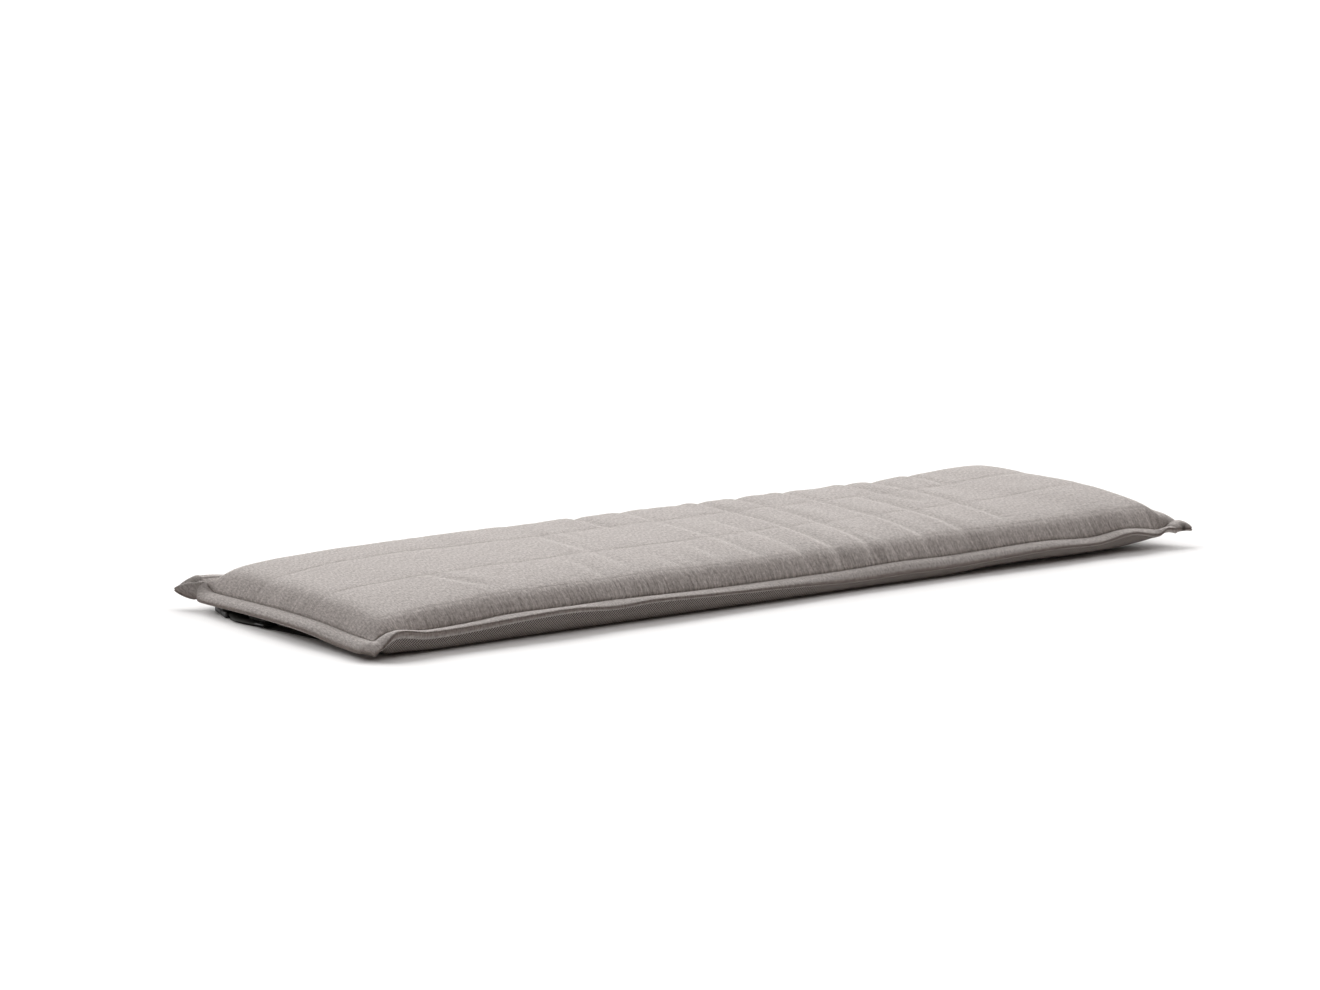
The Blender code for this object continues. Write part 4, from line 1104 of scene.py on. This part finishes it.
def melange_material():
    graph = Graph("melange_weave")
    cloth = graph.cloth()
    u, v = axes(graph, cloth)
    across = graph.noise(cloth, YARNS_ACROSS, detail=3.0, roughness=0.7)
    lengthwise = graph.noise(cloth, YARNS_ALONG, detail=3.0, roughness=0.65)
    grain = graph.plus(graph.math("MULTIPLY", across, 0.74), lengthwise, 0.26)
    yarns = graph.ramp(grain, 0.39, 0.61, YARN_DARK, YARN_LIGHT)
    shade = graph.ramp(graph.noise(cloth, CLOUDS, detail=4.0), 0.3, 0.7, CLOUD_SHADE, (1, 1, 1))
    color = graph.blend("MULTIPLY", 1.0, yarns, shade)
    ridges = 0.0
    for name, scale in STREAKS.items():
        drawn = graph.place_value(name)
        streaks = graph.noise(cloth, scale, detail=3.0, roughness=0.62)
        # Painted light and shade: the streaks' ridges lighter and their furrows darker in the
        # colour
        streak_painted_light = graph.ramp(streaks, 0.36, 0.62, STREAK_PAINTED_SHADE, STREAK_PAINTED_LIGHT)
        color = graph.blend("MULTIPLY", drawn, color, streak_painted_light)
        ridges = graph.plus(ridges, streaks, drawn)
    graph.surface(graph.with_painted_shade(color), roughness=0.92, specular=0.25)
    graph.shader.inputs["Sheen Weight"].default_value = 0.12
    graph.shader.inputs["Sheen Roughness"].default_value = 0.45
    graph.shader.inputs["Sheen Tint"].default_value = (1.0, 0.97, 0.94, 1)
    weave = graph.math("MULTIPLY", wave(graph, u, YARN_PITCH), wave(graph, v, YARN_PITCH))
    height = graph.plus(grain, weave, 0.3)
    graph.bump(graph.plus(height, ridges, 1.2), 0.0010, 0.8)
    return graph.material


def twill_material():
    graph = Graph("underside_twill")
    cloth = graph.cloth()
    u, v = axes(graph, cloth)
    rib = wave(graph, graph.math("ADD", u, v), TWILL_PITCH)
    cross = wave(graph, graph.math("SUBTRACT", u, v), TWILL_PITCH)
    ribs = graph.plus(graph.math("MULTIPLY", rib, TWILL_RIB), cross, TWILL_CROSS)
    tone = graph.math("ADD", ribs, graph.noise(cloth, TWILL_GRAIN, detail=3.0, roughness=0.6))
    color = graph.ramp(tone, 0.10, 0.90, TWILL_DARK, TWILL_LIGHT)
    graph.surface(graph.with_painted_shade(color), roughness=0.9, specular=0.25)
    graph.bump(tone, 0.0006, 0.7)
    return graph.material


def webbing_material():
    graph = Graph("webbing_weave")
    place = graph.node("ShaderNodeTexCoord").outputs["Object"]
    x, y = axes(graph, place)
    ribs, columns = wave(graph, y, WEBBING_RIB_PITCH), wave(graph, x, WEBBING_COLUMN_PITCH)
    grain = graph.noise(place, WEBBING_GRAIN)
    tone = graph.plus(grain, graph.math("MULTIPLY", ribs, columns), 0.25)
    graph.surface(graph.ramp(tone, 0.2, 0.9, WEBBING_DARK, WEBBING_LIGHT), roughness=0.8)
    graph.bump(tone, 0.0004, 0.8)
    return graph.material


def thread_material():
    graph = Graph("sewing_thread")
    grain = graph.noise(graph.node("ShaderNodeTexCoord").outputs["Object"], THREAD_GRAIN)
    graph.surface(graph.ramp(grain, 0.3, 0.7, THREAD_DARK, THREAD_LIGHT), roughness=0.7)
    graph.bump(grain, 0.0001, 0.5)
    return graph.material


def plastic_material():
    graph = Graph("moulded_plastic")
    grain = graph.noise(graph.node("ShaderNodeTexCoord").outputs["Object"], PLASTIC_GRAIN)
    color = graph.ramp(grain, 0.3, 0.7, PLASTIC_DARK, PLASTIC_LIGHT)
    graph.surface(color, roughness=graph.plus(0.32, grain, 0.2))
    graph.bump(grain, 0.0001, 0.4)
    return graph.material


def floor_material():
    graph = Graph("studio_floor")
    graph.surface(FLOOR_COLOR, roughness=1.0, specular=0.0)
    return graph.material


# ---------------------------------------------------------------------------------------
# Camera, light and floor
# ---------------------------------------------------------------------------------------

CAMERA_PLACE = (-3.1756, -4.1749, 0.9755)
CAMERA_YAW = 0.6372
CAMERA_PITCH = 0.1627
CAMERA_LENS = 101.34
SENSOR_WIDTH = 36.0
CAMERA_REACH = 400
FLOOR_SIZE = 160.0
# Three soft, low lamps stand beyond the cushion as the camera sees it, and a weak warm fill
# comes from all round. A heading is the way to a lamp in degrees from X to Y, and a height its
# angle above the floor.
Lamp = namedtuple("Lamp", "heading height strength")
LAMPS = (
    Lamp(heading=106, height=30, strength=1.98),
    Lamp(heading=58, height=30, strength=3.32),
    Lamp(heading=2, height=30, strength=2.14),
)
LAMP_ANGLE = math.radians(42)
FILL_STRENGTH = 0.122
FILL_COLOR = (1.0, 0.86, 0.79)


def add_camera():
    camera = bpy.data.cameras.new("camera")
    camera.sensor_fit = "HORIZONTAL"
    camera.sensor_width = SENSOR_WIDTH
    camera.lens = CAMERA_LENS
    camera.clip_end = CAMERA_REACH
    obj = add_object("camera", camera)
    obj.location = CAMERA_PLACE
    obj.rotation_euler = (math.pi / 2 - CAMERA_PITCH, 0, -CAMERA_YAW)
    bpy.context.scene.camera = obj


def add_light():
    for number, lamp in enumerate(LAMPS):
        light = bpy.data.lights.new(f"lamp_{number}", "SUN")
        light.energy = lamp.strength
        light.angle = LAMP_ANGLE
        obj = add_object(f"lamp_{number}", light)
        heading, height = math.radians(lamp.heading), math.radians(lamp.height)
        obj.rotation_euler = (math.pi / 2 - height, 0, math.pi / 2 + heading)
    world = bpy.data.worlds.new("studio")
    world.use_nodes = True
    background = world.node_tree.nodes["Background"]
    background.inputs["Color"].default_value = (*FILL_COLOR, 1)
    background.inputs["Strength"].default_value = FILL_STRENGTH
    bpy.context.scene.world = world


def add_floor():
    bm = bmesh.new()
    bmesh.ops.create_grid(bm, x_segments=1, y_segments=1, size=FLOOR_SIZE / 2)
    mesh = bpy.data.meshes.new("floor")
    bm.to_mesh(mesh)
    bm.free()
    mesh.materials.append(floor_material())
    add_object("floor", mesh)


def use_plain_colors():
    """The studio's white stays white."""
    settings = bpy.context.scene.view_settings
    settings.view_transform = "Standard"
    settings.look = "None"


# ---------------------------------------------------------------------------------------
# The pieces
# ---------------------------------------------------------------------------------------

# Each strap's webbing: the length it was cut to, with its turns round the bars, and what it
# lies against
WEBBING = {
    "strap_left_long": (0.424, ("cushion_cover", "slider_left", "buckle_left_plug")),
    "strap_left_short": (0.059, ("cushion_cover", "buckle_left_socket")),
    "strap_right_long": (0.395, ("cushion_cover", "slider_right", "buckle_right_plug")),
    "strap_right_short": (0.086, ("cushion_cover", "buckle_right_socket")),
}


def add_cover():
    cover = make_cover()
    cover.data.materials.append(melange_material())
    cover.data.materials.append(twill_material())
    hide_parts("cushion")
    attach(cover, "root")


def add_stitches():
    thread = thread_material()
    for name, paths, radius in (
        ("quilting_stitches", quilt_paths(), QUILT_THREAD),
        ("border_stitches", border_paths(), SEAM_THREAD),
    ):
        stitches = make_stitches(name, paths, STITCH_PITCH, radius)
        stitches.data.materials.append(thread)
        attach(stitches, "root")


def add_webbing():
    material = webbing_material()
    for name, (length, lies_on) in WEBBING.items():
        webbing = softened_copy(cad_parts[name], name.replace("strap", "webbing"))
        webbing.data.materials.clear()
        webbing.data.materials.append(material)
        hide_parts(name)
        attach(webbing, "root")


def finish_hardware():
    plastic = plastic_material()
    for name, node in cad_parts.items():
        if name.startswith(("buckle", "slider")):
            node.data.materials.clear()
            node.data.materials.append(plastic)


add_camera()
add_light()
add_floor()
use_plain_colors()
add_cover()
add_stitches()
add_webbing()
finish_hardware()
